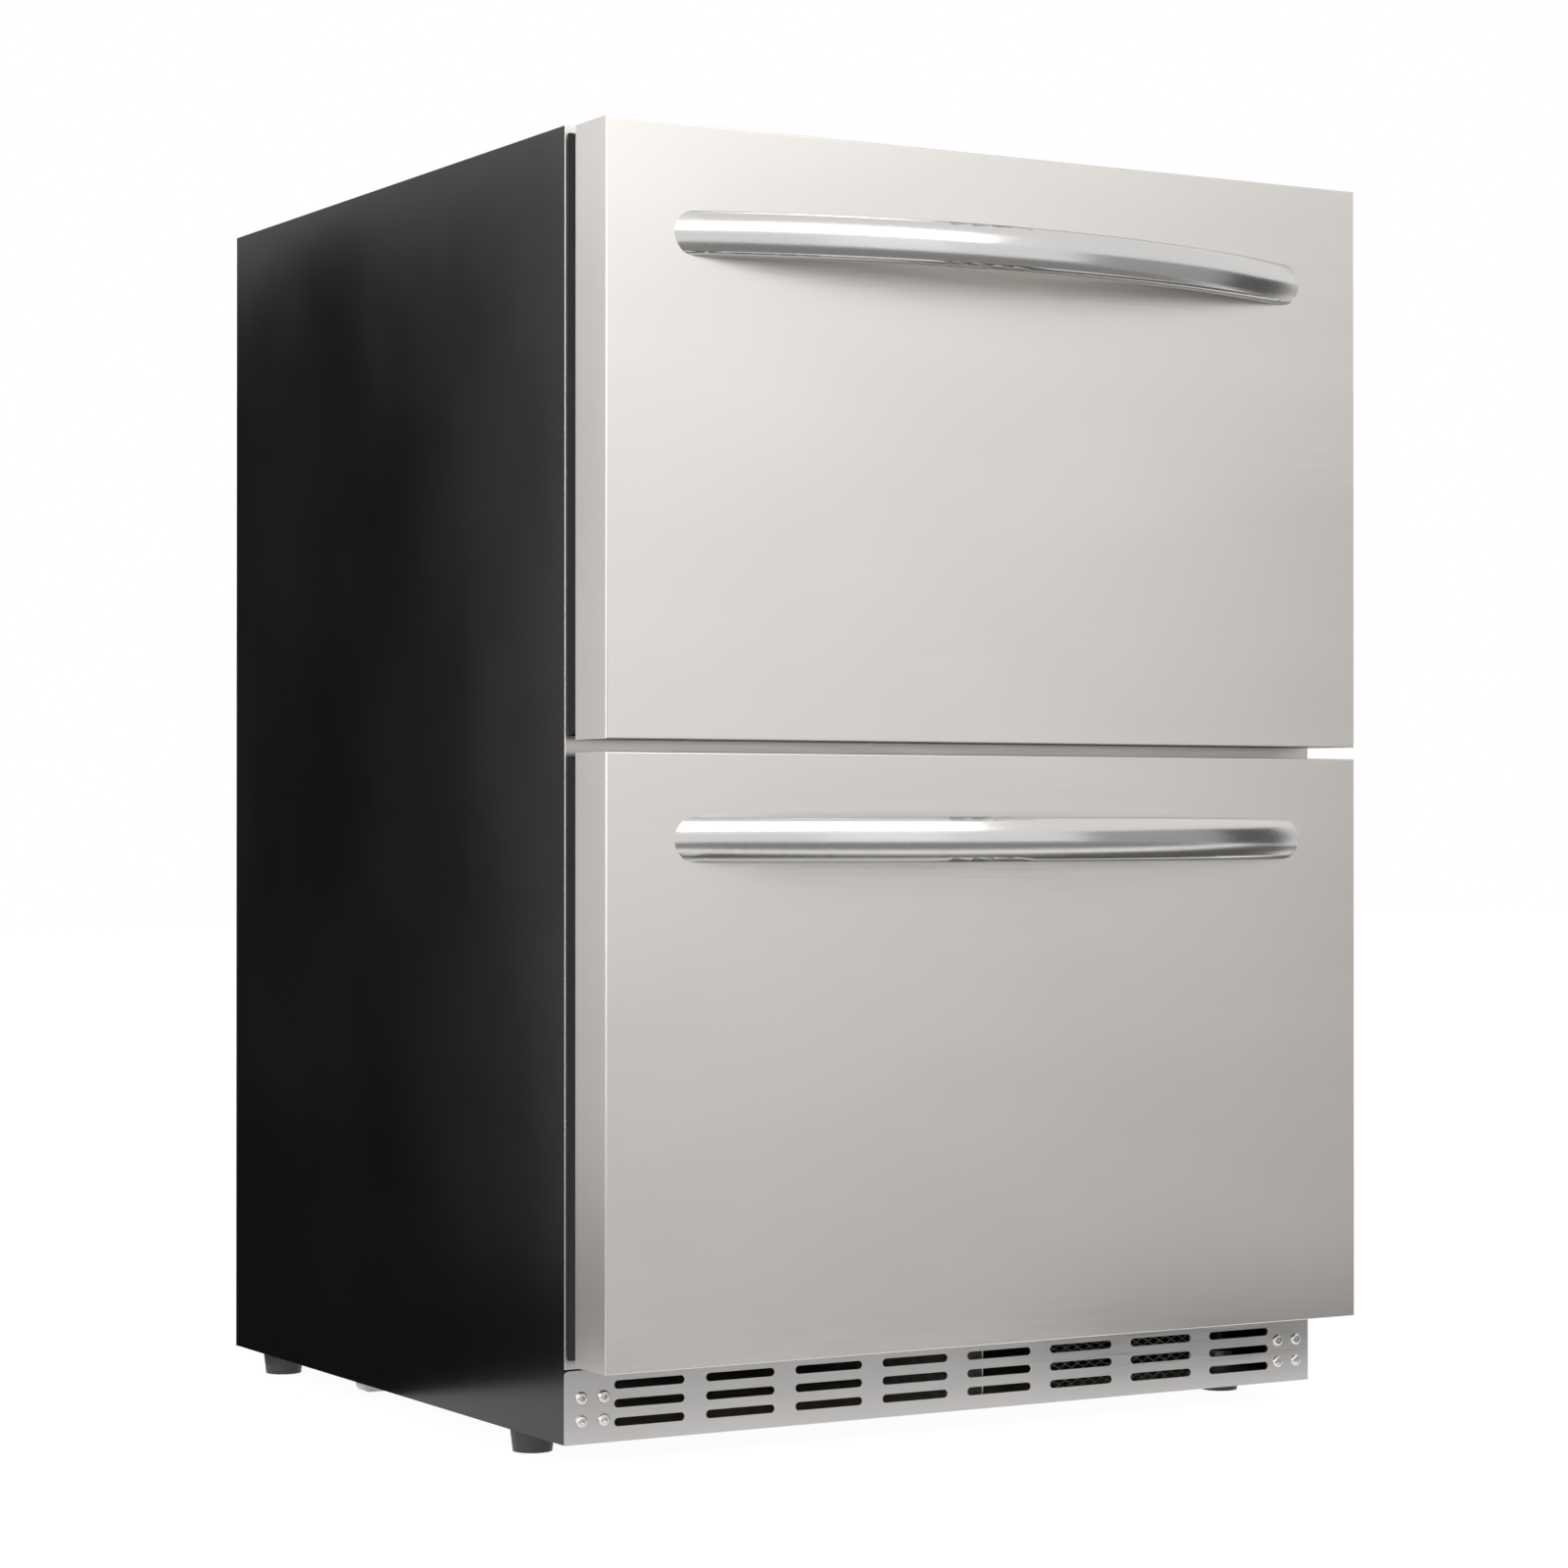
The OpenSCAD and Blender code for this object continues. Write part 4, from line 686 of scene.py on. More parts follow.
def cutGrooves(piece, along, start, pitch, count, depth, middle):
    # rings round a rod: every other loop is drawn in
    axis = "XYZ".index(along)
    direction = [float(i == axis) for i in range(3)]
    for i in range(1, 2 * count):
        cut = [start + i * pitch / 2 if k == axis else 0 for k in range(3)]
        cutAcross(cut, direction)
    for i in range(1, 2 * count, 2):
        level = start + i * pitch / 2
        pickPoints(piece, lambda point: near(point[axis], level))
        grow = [1 if k == axis else 1 - depth for k in range(3)]
        bpy.ops.transform.resize(value=grow, center_override=middle)


def finishExtra(piece, slot, body="cabinet", smoothUpTo=35):
    activate(piece)
    bpy.ops.object.shade_smooth_by_angle(angle=math.radians(smoothUpTo))
    applyModifier(piece, "WEIGHTED_NORMAL", keep_sharp=True)
    piece.data.materials.clear()
    piece.data.materials.append(finishes[slot])
    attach(piece, body)


def finishPiece(piece, node, smoothUpTo=35):
    # the piece stands for a packed one: same finish, same body
    finishExtra(piece, slotOf[node], bodyOf[node], smoothUpTo)
    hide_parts(node)


# drawer fronts: a folded steel skin, open at the back where the inner panel closes it
frontSkin = {
    "corner": 1.1 * mm,
    "wall": 1.0 * mm,
    "steps": 4,
}


def modelFrontSkin(name, node):
    low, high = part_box(node)
    skin = addBlock(name, low, high)
    startEdit(skin)
    pickEdges(skin, lambda middle, run: near(middle.y, low.y))
    roundEdges(frontSkin["corner"], frontSkin["steps"])
    pickFaces(skin, lambda middle, normal: near(middle.y, high.y))
    insetFaces(frontSkin["wall"])
    pushOut(0, low.y + frontSkin["wall"] - high.y, 0)
    endEdit()
    finishPiece(skin, node)


modelFrontSkin("upperFrontSkin", "upper_front_shell")
modelFrontSkin("lowerFrontSkin", "lower_front_shell")
print("stage: drawer fronts")


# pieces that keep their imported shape, with their sharp edges broken by this many millimetres
softFrom = math.radians(50)
sharpFrom = 0.9           # radians, for pieces with shallower rounds of their own
softEdges = {
    "front_frame": 0.45,
    "mullion": 0.5,
    "toe_grille": 0.4,
    "left_side_panel": 0.5,
    "right_side_panel": 0.5,
    "top_panel": 0.4,
    "rear_vent_cover": 0.35,
    "base_pan": 0.3,
    "compressor_plate": 0.4,
    "inner_liner": 0.5,
    "control_housing": 0.9,
    "evaporator_cover": 0.6,
    "condenser_fan_motor": 0.5,
    "evaporator_fan_motor": 0.5,
    "temperature_probe": 0.8,
    "upper_handle_screws": 0.5,
    "lower_handle_screws": 0.5,
}


def modelSoftened(node, width):
    words = node.split("_")
    piece = copyNode(node, words[0] + "".join(word.title() for word in words[1:]) + "Soft")
    softenPiece(piece, width * mm, 3, softFrom)
    finishPiece(piece, node)


for node, width in softEdges.items():
    modelSoftened(node, width)
print("stage: softened pieces")


# gaskets: a flat foot on the front, a bellows neck and a magnet bead that meets the cabinet
doorGasket = {
    "width": 24 * mm,
    "foot": 2.2 * mm,          # depth of the foot
    "neck": (3.4 * mm, 6.2 * mm),
    "neckInset": 3.2 * mm,
    "groove": 7.6 * mm,
    "grooveInset": 1.4 * mm,
    "edge": 0.65 * mm,
}


def modelGasket(name, node):
    low, high, middle = boxOf(node)
    half = (high - low) / 2
    ring = addBlock(name, low, high)
    startEdit(ring)
    pickFaces(ring, facing("y"))
    insetFaces(doorGasket["width"])
    bpy.ops.mesh.bridge_edge_loops()
    depths = [doorGasket["foot"], *doorGasket["neck"], doorGasket["groove"]]
    for depth in depths:
        cutAcross((0, low.y + depth, 0), (0, 1, 0))
    insets = [(depth, doorGasket["neckInset"]) for depth in doorGasket["neck"]]
    insets.append((doorGasket["groove"], doorGasket["grooveInset"]))
    for depth, inset in insets:
        # the outer side draws in and the inner side swells, so the neck stays between them
        for outer in (True, False):
            edge = half if outer else half - Vector((doorGasket["width"],) * 3)
            sign = -1 if outer else 1
            pickPoints(ring, lambda point: near(point.y, low.y + depth) and (
                near(abs(point.x - middle.x), edge.x) or near(abs(point.z - middle.z), edge.z)))
            grow = (1 + sign * inset / edge.x, 1, 1 + sign * inset / edge.z)
            bpy.ops.transform.resize(value=grow, center_override=middle)
    endEdit()
    softenPiece(ring, doorGasket["edge"], 2, 0.7)
    finishPiece(ring, node, smoothUpTo=50)


modelGasket("upperDoorGasket", "upper_gasket")
modelGasket("lowerDoorGasket", "lower_gasket")
print("stage: gaskets")


# guard behind the grille: expanded metal, wide flat diamonds
diamondGuard = {
    "across": 10 * mm,
    "up": 5.6 * mm,
    "strand": 1.5 * mm,
    "cells": 24,
}


def modelGuard():
    low, high, middle = boxOf("condenser_guard")
    cells = diamondGuard["cells"]
    clearSelection()
    bpy.ops.mesh.primitive_grid_add(x_subdivisions=cells, y_subdivisions=cells, size=cells / math.sqrt(2))
    sheet = bpy.context.object
    sheet.rotation_euler = (0, 0, math.radians(45))
    settle(sheet, "diamondGuard")
    sheet.scale = (diamondGuard["across"], diamondGuard["up"], 1)
    settle(sheet, "diamondGuard")
    sheet.rotation_euler = (math.radians(90), 0, 0)
    sheet.location = middle
    settle(sheet, "diamondGuard")
    startEdit(sheet)
    rim = diamondGuard["strand"] / 2
    for spot, outwards in ((low, -1), (high, 1)):
        for direction in ((outwards, 0, 0), (0, 0, outwards)):
            cut = Vector(spot) - rim * Vector(direction)
            cutAcross(cut, direction, clear_outer=True)
    endEdit()
    strand = diamondGuard["strand"]
    applyModifier(sheet, "WIREFRAME", thickness=strand, use_boundary=True, use_even_offset=False)
    startEdit(sheet)
    bpy.ops.mesh.select_all(action="SELECT")
    bpy.ops.transform.resize(value=(1, (high.y - low.y) / strand, 1), center_override=middle)
    endEdit()
    finishPiece(sheet, "condenser_guard", smoothUpTo=20)


modelGuard()
print("stage: guard")


# screws: a domed head with a hexagon socket, copied to each place
panelScrew = {
    "head": 8.6 * mm,
    "rise": 2.5 * mm,
    "dome": 2.1 * mm,
    "socket": 3.4 * mm,
    "socketDeep": 1.9 * mm,
    "shank": 4 * mm,
    "shankLength": 9 * mm,
    "tip": 0.5 * mm,
    "steps": 6,
}
# the screws sit in two rows of two at each end of the grille, and two on each side of the rear cover
screwPlan = {
    "fromSide": 11.7 * mm,
    "across": 16.1 * mm,
    "low": 30.2 * mm,
    "up": 15 * mm,
    "rearInset": 20 * mm,
    "coverLip": 1.6 * mm,
}


def modelScrew(way):
    # way is -1 when the head looks to the front and 1 when it looks to the rear
    rise = panelScrew["rise"]
    head = addRod("screwHead", panelScrew["head"] / 2, rise, (0, way * rise / 2, 0), "Y")
    outside, inside = ("+", "-") if way > 0 else ("-", "+")
    roundFaces(head, facing("y", outside), panelScrew["dome"], panelScrew["steps"])
    socket = addRod("screwSocket", panelScrew["socket"] / 2, 2 * panelScrew["socketDeep"],
                    (0, way * rise, 0), "Y", sides=6)
    cutAway(head, socket)
    discard(socket)
    shank = addRod("screwShank", panelScrew["shank"] / 2, panelScrew["shankLength"],
                   (0, -way * panelScrew["shankLength"] / 2, 0), "Y", sides=16)
    roundFaces(shank, facing("y", inside), panelScrew["tip"], 2)
    return joinPieces("panelScrew", [head, shank])


def modelScrews():
    screws = []
    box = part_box("toe_grille")
    front = modelScrew(-1)
    for side in (-1, 1):
        for column in (0, 1):
            for row in (0, 1):
                x = side * (box[1].x - screwPlan["fromSide"] - column * screwPlan["across"])
                z = screwPlan["low"] + row * screwPlan["up"]
                screws.append(copyPiece(front, (x, box[0].y, z)))
    discard(front)
    rear = modelScrew(1)
    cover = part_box("rear_vent_cover")
    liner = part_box("inner_liner")
    for side in (-1, 1):
        x = side * (liner[1].x + cover[1].x) / 2
        bottom = cover[0].z - screwPlan["coverLip"]
        for z in (bottom + screwPlan["rearInset"], cover[1].z - screwPlan["rearInset"]):
            screws.append(copyPiece(rear, (x, cover[1].y, z)))
    discard(rear)
    finishPiece(joinPieces("panelScrewSet", screws), "panel_screws")


modelScrews()
print("stage: screws")


# trays: folded or moulded, with round corners, a rim turned over and ribs on the floor
binShape = {
    "corner": 14 * mm, "floorEdge": 5 * mm, "wall": 1.5 * mm,
    "rimWidth": 5 * mm, "rimDepth": 3 * mm, "ribs": 7, "ribMargin": 46 * mm,
}
panShape = {
    "corner": 8 * mm, "floorEdge": 3 * mm, "wall": 2 * mm,
    "rimWidth": 3.5 * mm, "rimDepth": 2 * mm, "ribs": 3, "ribMargin": 14 * mm,
}
trayRib = {
    "width": 5 * mm,
    "rise": 0.9 * mm,
    "sunk": 0.2 * mm,
    "edge": 0.6 * mm,
}


def modelTray(name, node, tray):
    low, high, middle = boxOf(node)
    half = (high - low) / 2
    shell = addBlock(name, low, high)
    startEdit(shell)
    pickEdges(shell, running("z"))
    roundEdges(tray["corner"], 8)
    pickFaces(shell, facing("z", "-"))
    roundEdges(tray["floorEdge"], 4)
    pickFaces(shell, facing("z", "+"))
    insetFaces(tray["rimWidth"])
    pushOut(0, 0, -tray["rimDepth"])
    pushOut(0, 0, 0)
    grow = [(half[i] - tray["wall"]) / (half[i] - tray["rimWidth"]) for i in (0, 1)]
    bpy.ops.transform.resize(value=(*grow, 1), center_override=middle)
    floorTop = low.z + tray["wall"]
    pushOut(0, 0, floorTop + tray["rimDepth"] - high.z)
    endEdit()
    width = trayRib["width"]
    pieces = [shell]
    for i in range(tray["ribs"]):
        x = middle.x + (i / (tray["ribs"] - 1) - 0.5) * 2 * (half.x - tray["ribMargin"])
        rib = addBlock("trayRib", (x - width / 2, low.y + tray["ribMargin"], floorTop - trayRib["sunk"]),
                       (x + width / 2, high.y - tray["ribMargin"], floorTop + trayRib["rise"]))
        roundFaces(rib, facing("z", "+"), trayRib["edge"], 2)
        pieces.append(rib)
    finishPiece(joinPieces(name, pieces), node, smoothUpTo=40)


modelTray("upperDrawerBin", "upper_bin", binShape)
modelTray("lowerDrawerBin", "lower_bin", binShape)
modelTray("meltwaterPan", "drip_pan", panShape)
print("stage: trays")


# slides: folded channels with round bends, mounting holes and the screws that hold the inner ones
slide = {
    "bend": 2.6 * mm,
    "sheet": 1.2 * mm,
    "hole": 2.3 * mm,
    "holeStep": 48 * mm,
    "firstHole": 24 * mm,
    "drillLength": 8 * mm,
    "screwEvery": 3,           # holes
    "screwRadius": 3.4 * mm,
    "screwRise": 1.3 * mm,
    "screwDome": 0.9 * mm,
    "screwSunk": 0.1 * mm,
}
# node: its name here, and whether the web is on the side away from the middle
channelSets = {
    "outer_rails": ("outerSlideChannels", True),
    "upper_middle_rails": ("upperMiddleChannels", True),
    "lower_middle_rails": ("lowerMiddleChannels", True),
    "upper_inner_rails": ("upperInnerChannels", False),
    "lower_inner_rails": ("lowerInnerChannels", False),
}


def modelChannel(low, high, webOutside):
    # the channel opens towards the middle where its web is on the outside
    outwards = math.copysign(1, low.x) if webOutside else -math.copysign(1, low.x)
    webX = high.x if outwards > 0 else low.x
    channel = addBlock("slideChannel", low, high)
    startEdit(channel)
    pickFaces(channel, lambda place, normal: normal.x * outwards < -square or abs(normal.y) > square)
    bpy.ops.mesh.delete(type="FACE")
    pickEdges(channel, lambda place, run: abs(run.y) > square and near(place.x, webX))
    roundEdges(slide["bend"], 4)
    endEdit()
    applyModifier(channel, "SOLIDIFY", thickness=slide["sheet"], offset=-1)
    z = (low.z + high.z) / 2
    count = int((high.y - low.y - 2 * slide["firstHole"]) / slide["holeStep"])
    places = [low.y + slide["firstHole"] + i * slide["holeStep"] for i in range(count + 1)]
    drill = joinPieces("drill", [
        addRod("drill", slide["hole"], slide["drillLength"], (webX, y, z), "X", sides=20) for y in places])
    cutAway(channel, drill)
    discard(drill)
    if webOutside:
        return [channel]
    rise = slide["screwRise"]
    x = webX - outwards * (slide["sheet"] + rise / 2 - slide["screwSunk"])
    screws = []
    for y in places[::slide["screwEvery"]]:
        screw = addRod("slideScrew", slide["screwRadius"], rise, (x, y, z), "X", sides=20)
        roundFaces(screw, facing("x", "-" if outwards > 0 else "+"), slide["screwDome"], 3)
        screws.append(screw)
    return [channel, *screws]


for node, (name, webOutside) in channelSets.items():
    channels = [piece for low, high in looseBoxes(node) for piece in modelChannel(low, high, webOutside)]
    finishPiece(joinPieces(name, channels), node, smoothUpTo=40)
print("stage: slides")


# inner panels of the fronts: a moulded sheet with a step round the bin
innerSheet = {
    "border": 27 * mm,
    "groove": 3 * mm,
    "deep": 1.1 * mm,
    "edge": 0.5 * mm,
}


def modelInnerSheet(name, node):
    low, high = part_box(node)
    sheet = addBlock(name, low, high)
    startEdit(sheet)
    pickFaces(sheet, facing("y", "+"))
    insetFaces(innerSheet["border"])
    insetFaces(innerSheet["groove"], depth=-innerSheet["deep"])
    insetFaces(innerSheet["groove"])
    insetFaces(innerSheet["groove"], depth=innerSheet["deep"])
    endEdit()
    softenPiece(sheet, innerSheet["edge"], 2, 0.2)
    finishPiece(sheet, node, smoothUpTo=50)


modelInnerSheet("upperInnerSheet", "upper_inner_panel")
modelInnerSheet("lowerInnerSheet", "lower_inner_panel")
print("stage: inner panels")


# rear of the cabinet: a back sheet with two pressed fields, and louvre hoods over the vents
rearSheet = {
    "frame": 40 * mm,
    "press": 2.4 * mm,
    "slope": 5 * mm,
    "gap": 30 * mm,
    "edge": 0.5 * mm,
}
ventHood = {
    "length": 82 * mm,
    "height": 5.5 * mm,
    "across": 103 * mm,
    "up": 14 * mm,
    "rows": 6,
    "low": 75.5 * mm,
    "stand": 2.6 * mm,
    "skin": 0.9 * mm,
    "sunk": 0.2 * mm,
    "endRound": 0.9,           # shares of how far a hood stands out
    "mouth": 0.35,
    "squash": 0.72,
}


def modelRearSheet():
    low, high, middle = boxOf("back_panel")
    sheet = addBlock("rearSheet", low, high)
    startEdit(sheet)
    gap = rearSheet["gap"]
    for x in (middle.x - gap / 2, middle.x + gap / 2):
        cutAcross((x, 0, 0), (1, 0, 0))
    pickFaces(sheet, lambda place, normal: abs(normal.y) > square and abs(place.x - middle.x) > gap)
    insetFaces(rearSheet["frame"], use_individual=True)
    insetFaces(rearSheet["slope"], use_individual=True)
    bpy.ops.transform.translate(value=(0, -rearSheet["press"], 0))
    endEdit()
    softenPiece(sheet, rearSheet["edge"], 3, 0.3)
    finishPiece(sheet, "back_panel", smoothUpTo=60)


def modelVentHoods():
    # half a capsule pressed out over each vent, open underneath
    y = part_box("rear_vent_cover")[1].y
    hood = addRod("ventHood", ventHood["stand"], ventHood["length"], (0, 0, 0), "X", sides=24)
    startEdit(hood)
    pickEdges(hood, lambda place, run: near(abs(place.x), ventHood["length"] / 2))
    roundEdges(ventHood["stand"] * ventHood["endRound"], 5)
    cutAcross((0, 0, 0), (0, -1, 0), clear_outer=True)
    cutAcross((0, 0, -ventHood["stand"] * ventHood["mouth"]), (0, 0, -1), clear_outer=True)
    bpy.ops.mesh.select_all(action="SELECT")
    taller = ventHood["height"] / ventHood["stand"] * ventHood["squash"]
    bpy.ops.transform.resize(value=(1, 1, taller), center_override=(0, 0, 0))
    endEdit()
    applyModifier(hood, "SOLIDIFY", thickness=ventHood["skin"], offset=-1)
    hoods = []
    for row in range(ventHood["rows"]):
        for column in (-1, 0, 1):
            z = ventHood["low"] + row * ventHood["up"]
            hoods.append(copyPiece(hood, (column * ventHood["across"], y - ventHood["sunk"], z)))
    discard(hood)
    finishExtra(joinPieces("ventHoods", hoods), "black_sheet", smoothUpTo=40)


modelRearSheet()
modelVentHoods()
print("stage: rear sheets")


# cord gland: flange, ribbed sleeve and a bore
gland = {
    "flange": 11 * mm,
    "flangeDepth": 3 * mm,
    "flangeEdge": 1.4 * mm,
    "body": 8 * mm,
    "length": 14 * mm,
    "bore": 4 * mm,
    "boreLength": 60 * mm,
    "rings": 5,
    "ringDepth": 0.14,      # share of the radius
}


def modelGland():
    low, high, middle = boxOf("cord_gland")
    wall, length = high.y - gland["flangeDepth"], gland["length"]
    middle.y = wall - length / 2
    sleeve = addRod("cordGland", gland["body"], length, middle, "Y", sides=48)
    startEdit(sleeve)
    pitch = length / (gland["rings"] + 0.5)
    cutGrooves(sleeve, "Y", wall - length, pitch, gland["rings"], gland["ringDepth"], middle)
    endEdit()
    middle.y = high.y - gland["flangeDepth"] / 2
    flange = addRod("glandFlange", gland["flange"], gland["flangeDepth"], middle, "Y", sides=48)
    roundFaces(flange, facing("y", "+"), gland["flangeEdge"], 4)
    middle.y = wall
    bore = addRod("glandBore", gland["bore"], gland["boreLength"], middle, "Y", sides=48)
    for part in (sleeve, flange):
        cutAway(part, bore)
    discard(bore)
    finishPiece(joinPieces("cordGland", [sleeve, flange]), "cord_gland")


modelGland()
print("stage: cord gland")


# feet: a notched foot on a threaded stud
footStud = {
    "radius": 5 * mm,
    "pitch": 1.5 * mm,
    "turns": 20,
    "depth": 0.11,
    "point": 0.8 * mm,
    "edge": 0.5 * mm,
    "clear": 0.3 * mm,         # between the foot and the pan
    "sunk": 1 * mm,
}


def modelFoot(node):
    low, high, middle = boxOf(node)
    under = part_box("base_pan")[0].z
    words = node.split("_")
    foot = copyNode(node, words[0] + words[1].title() + "Foot")
    startEdit(foot)
    cutAcross((0, 0, under - footStud["clear"]), (0, 0, 1), clear_outer=True, use_fill=True)
    endEdit()
    softenPiece(foot, footStud["edge"], 2, sharpFrom)
    start = under - footStud["sunk"]
    stud = addRod("footStud", footStud["radius"], high.z - start,
                  (middle.x, middle.y, (start + high.z) / 2), sides=28)
    startEdit(stud)
    pickFaces(stud, facing("z", "+"))
    roundEdges(footStud["point"], 1)
    cutGrooves(stud, "Z", under, footStud["pitch"], footStud["turns"], footStud["depth"], middle)
    endEdit()
    finishPiece(joinPieces(foot.name, [foot, stud]), node, smoothUpTo=40)


for node in ("front_left_foot", "front_right_foot", "rear_left_foot", "rear_right_foot"):
    modelFoot(node)
print("stage: feet")


# controls: glass with two digits behind it, and two dished buttons
controls = {
    "glassEdge": 0.4 * mm,
    "digitHeight": 9 * mm,
    "digitWidth": 5 * mm,
    "digitGap": 3 * mm,
    "stroke": 0.9 * mm,
    "strokeGap": 0.54 * mm,    # from the corner of a digit to the end of a bar
    "strokeCorner": 0.36 * mm,
    "digitDepth": 0.15 * mm,
    "buttonEdge": 0.8 * mm,
    "dishWidth": 1.4 * mm,
    "dishDepth": 0.5 * mm,
    "dishSteps": 3,
    "capFacing": 0.995,        # faces nearer to square than this are the flat of the cap
}
# bars of a digit: middle across and up in half widths and half heights, and whether it lies flat
digitBars = {
    "top": (0, 1, True),
    "upperRight": (1, 0.5, False),
    "lowerRight": (1, -0.5, False),
    "bottom": (0, -1, True),
    "lowerLeft": (-1, -0.5, False),
    "upperLeft": (-1, 0.5, False),
    "centre": (0, 0, True),
}
digitOff = {"3": ("upperLeft", "lowerLeft"), "8": ()}


def modelDisplay():
    low, high, middle = boxOf("control_display")
    glass = addBlock("displayGlass", low, high)
    roundFaces(glass, facing("y", "-"), controls["glassEdge"], 3)
    finishPiece(glass, "control_display")
    halfHigh, halfWide = controls["digitHeight"] / 2, controls["digitWidth"] / 2
    bars = []
    for place, digit in enumerate("38"):
        x = middle.x + (place - 0.5) * (controls["digitWidth"] + controls["digitGap"])
        for label, (across, up, flat) in digitBars.items():
            if label in digitOff[digit]:
                continue
            reach = (halfWide if flat else halfHigh / 2) - controls["strokeGap"]
            size = (reach, controls["stroke"] / 2) if flat else (controls["stroke"] / 2, reach)
            at = (x + across * halfWide, middle.z + up * halfHigh)
            bar = addBlock("digitBar", (at[0] - size[0], low.y - controls["digitDepth"], at[1] - size[1]),
                           (at[0] + size[0], low.y + controls["digitDepth"], at[1] + size[1]))
            roundCorners(bar, running("y"), controls["strokeCorner"], 1)
            bars.append(bar)
    finishExtra(joinPieces("displayDigits", bars), "lamp_diffuser")


def modelButton(name, node):
    low, high, middle = boxOf(node)
    button = addRod(name, (high.x - low.x) / 2, high.y - low.y, middle, "Y", sides=48)
    startEdit(button)
    # the rear rim is rounded too, so that it clears the root of the pocket when pressed
    pickFaces(button, facing("y"))
    roundEdges(controls["buttonEdge"], 4)
    # only the flat of the face is dished, not the rounding beside it
    pickFaces(button, lambda place, normal: normal.y < -controls["capFacing"])
    width = controls["dishWidth"] / controls["dishSteps"]
    for step in range(controls["dishSteps"]):
        insetFaces(width, depth=-controls["dishDepth"] / (1 + step) / 2)
    endEdit()
    finishPiece(button, node)


modelDisplay()
modelButton("warmerButton", "warmer_button")
modelButton("colderButton", "colder_button")
print("stage: controls")


# interior lamp: a moulded lens with ribs across it
lampLens = {
    "ribs": 28,
    "ribDepth": 0.7 * mm,
    "corner": 3 * mm,
    "margin": 4 * mm,
}


def modelLamp():
    low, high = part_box("interior_lamp")
    lens = addBlock("lampLens", low + Vector((0, 0, lampLens["ribDepth"])), high)
    startEdit(lens)
    pickEdges(lens, running("z"))
    roundEdges(lampLens["corner"], 4)
    step = (high.x - low.x - 2 * lampLens["margin"]) / lampLens["ribs"]
    start = low.x + lampLens["margin"]
    for i in range(lampLens["ribs"] + 1):
        cutAcross((start + i * step, 0, 0), (1, 0, 0))
    # every other strip underneath becomes a rib
    pickFaces(lens, lambda place, normal: (
        normal.z < -square and int((place.x - start) / step + 2) % 2 == 1))
    pushOut(0, 0, -lampLens["ribDepth"])
    endEdit()
    finishPiece(lens, "interior_lamp")


modelLamp()
print("stage: lamp")


# fans: a hub with twisted blades on a shaft, modelled upright and turned to its axis
fan = {
    "hub": 13 * mm,
    "hubDepth": 14 * mm,
    "hubEdge": 3 * mm,
    "hubWall": 1.6 * mm,
    "hubHollow": 8.4 * mm,
    "bladeUp": 6.72 * mm,
    "blades": 5,
    "root": 12 * mm,
    "tip": 36.4 * mm,
    "rootChord": 16 * mm,
    "tipChord": 27 * mm,
    "rootPitch": 44,        # degrees
    "tipPitch": 26,
    "bladeThick": 1.4 * mm,
    "tipRound": 6 * mm,
    "bladeEdge": 0.35 * mm,
    "shaft": 2 * mm,
    "shaftInset": 4 * mm,
}
guardRings = {
    "wire": 0.9 * mm,
    "radii": (9 * mm, 17 * mm, 25 * mm, 33 * mm, 41 * mm),
    "spokes": 3,
    "reach": 44.5 * mm,
}
shroudRing = {
    "radius": 43.2 * mm,
    "bead": 1.8 * mm,
    "inset": 0.6 * mm,
    "edge": 0.5 * mm,
}


def modelBlade():
    clearSelection()
    bpy.ops.mesh.primitive_grid_add(x_subdivisions=6, y_subdivisions=4, size=1)
    blade = bpy.context.object
    blade.scale = (fan["tip"] - fan["root"], 1, 1)
    blade.location = ((fan["tip"] + fan["root"]) / 2, 0, 0)
    settle(blade, "fanBlade")
    startEdit(blade)
    for x in sorted({round(point.co.x, 6) for point in blade.data.vertices}):
        share = (x - fan["root"]) / (fan["tip"] - fan["root"])
        chord = fan["rootChord"] + (fan["tipChord"] - fan["rootChord"]) * share
        pickPoints(blade, lambda point: near(point.x, x))
        bpy.ops.transform.resize(value=(1, chord, 1), center_override=(0, 0, 0))
    pickPoints(blade, lambda point: near(point.x, fan["tip"]) and near(abs(point.y), fan["tipChord"] / 2))
    bpy.ops.mesh.bevel(offset=fan["tipRound"], segments=5, affect="VERTICES")
    endEdit()
    startEdit(blade)
    for x in sorted({round(point.co.x, 6) for point in blade.data.vertices}):
        share = (x - fan["root"]) / (fan["tip"] - fan["root"])
        pitch = math.radians(fan["rootPitch"] + (fan["tipPitch"] - fan["rootPitch"]) * share)
        pickPoints(blade, lambda point: near(point.x, x))
        bpy.ops.transform.rotate(value=-pitch, orient_axis="X", center_override=(0, 0, 0))
    endEdit()
    applyModifier(blade, "SOLIDIFY", thickness=fan["bladeThick"], offset=0)
    softenPiece(blade, fan["bladeEdge"], 2, sharpFrom)
    return blade


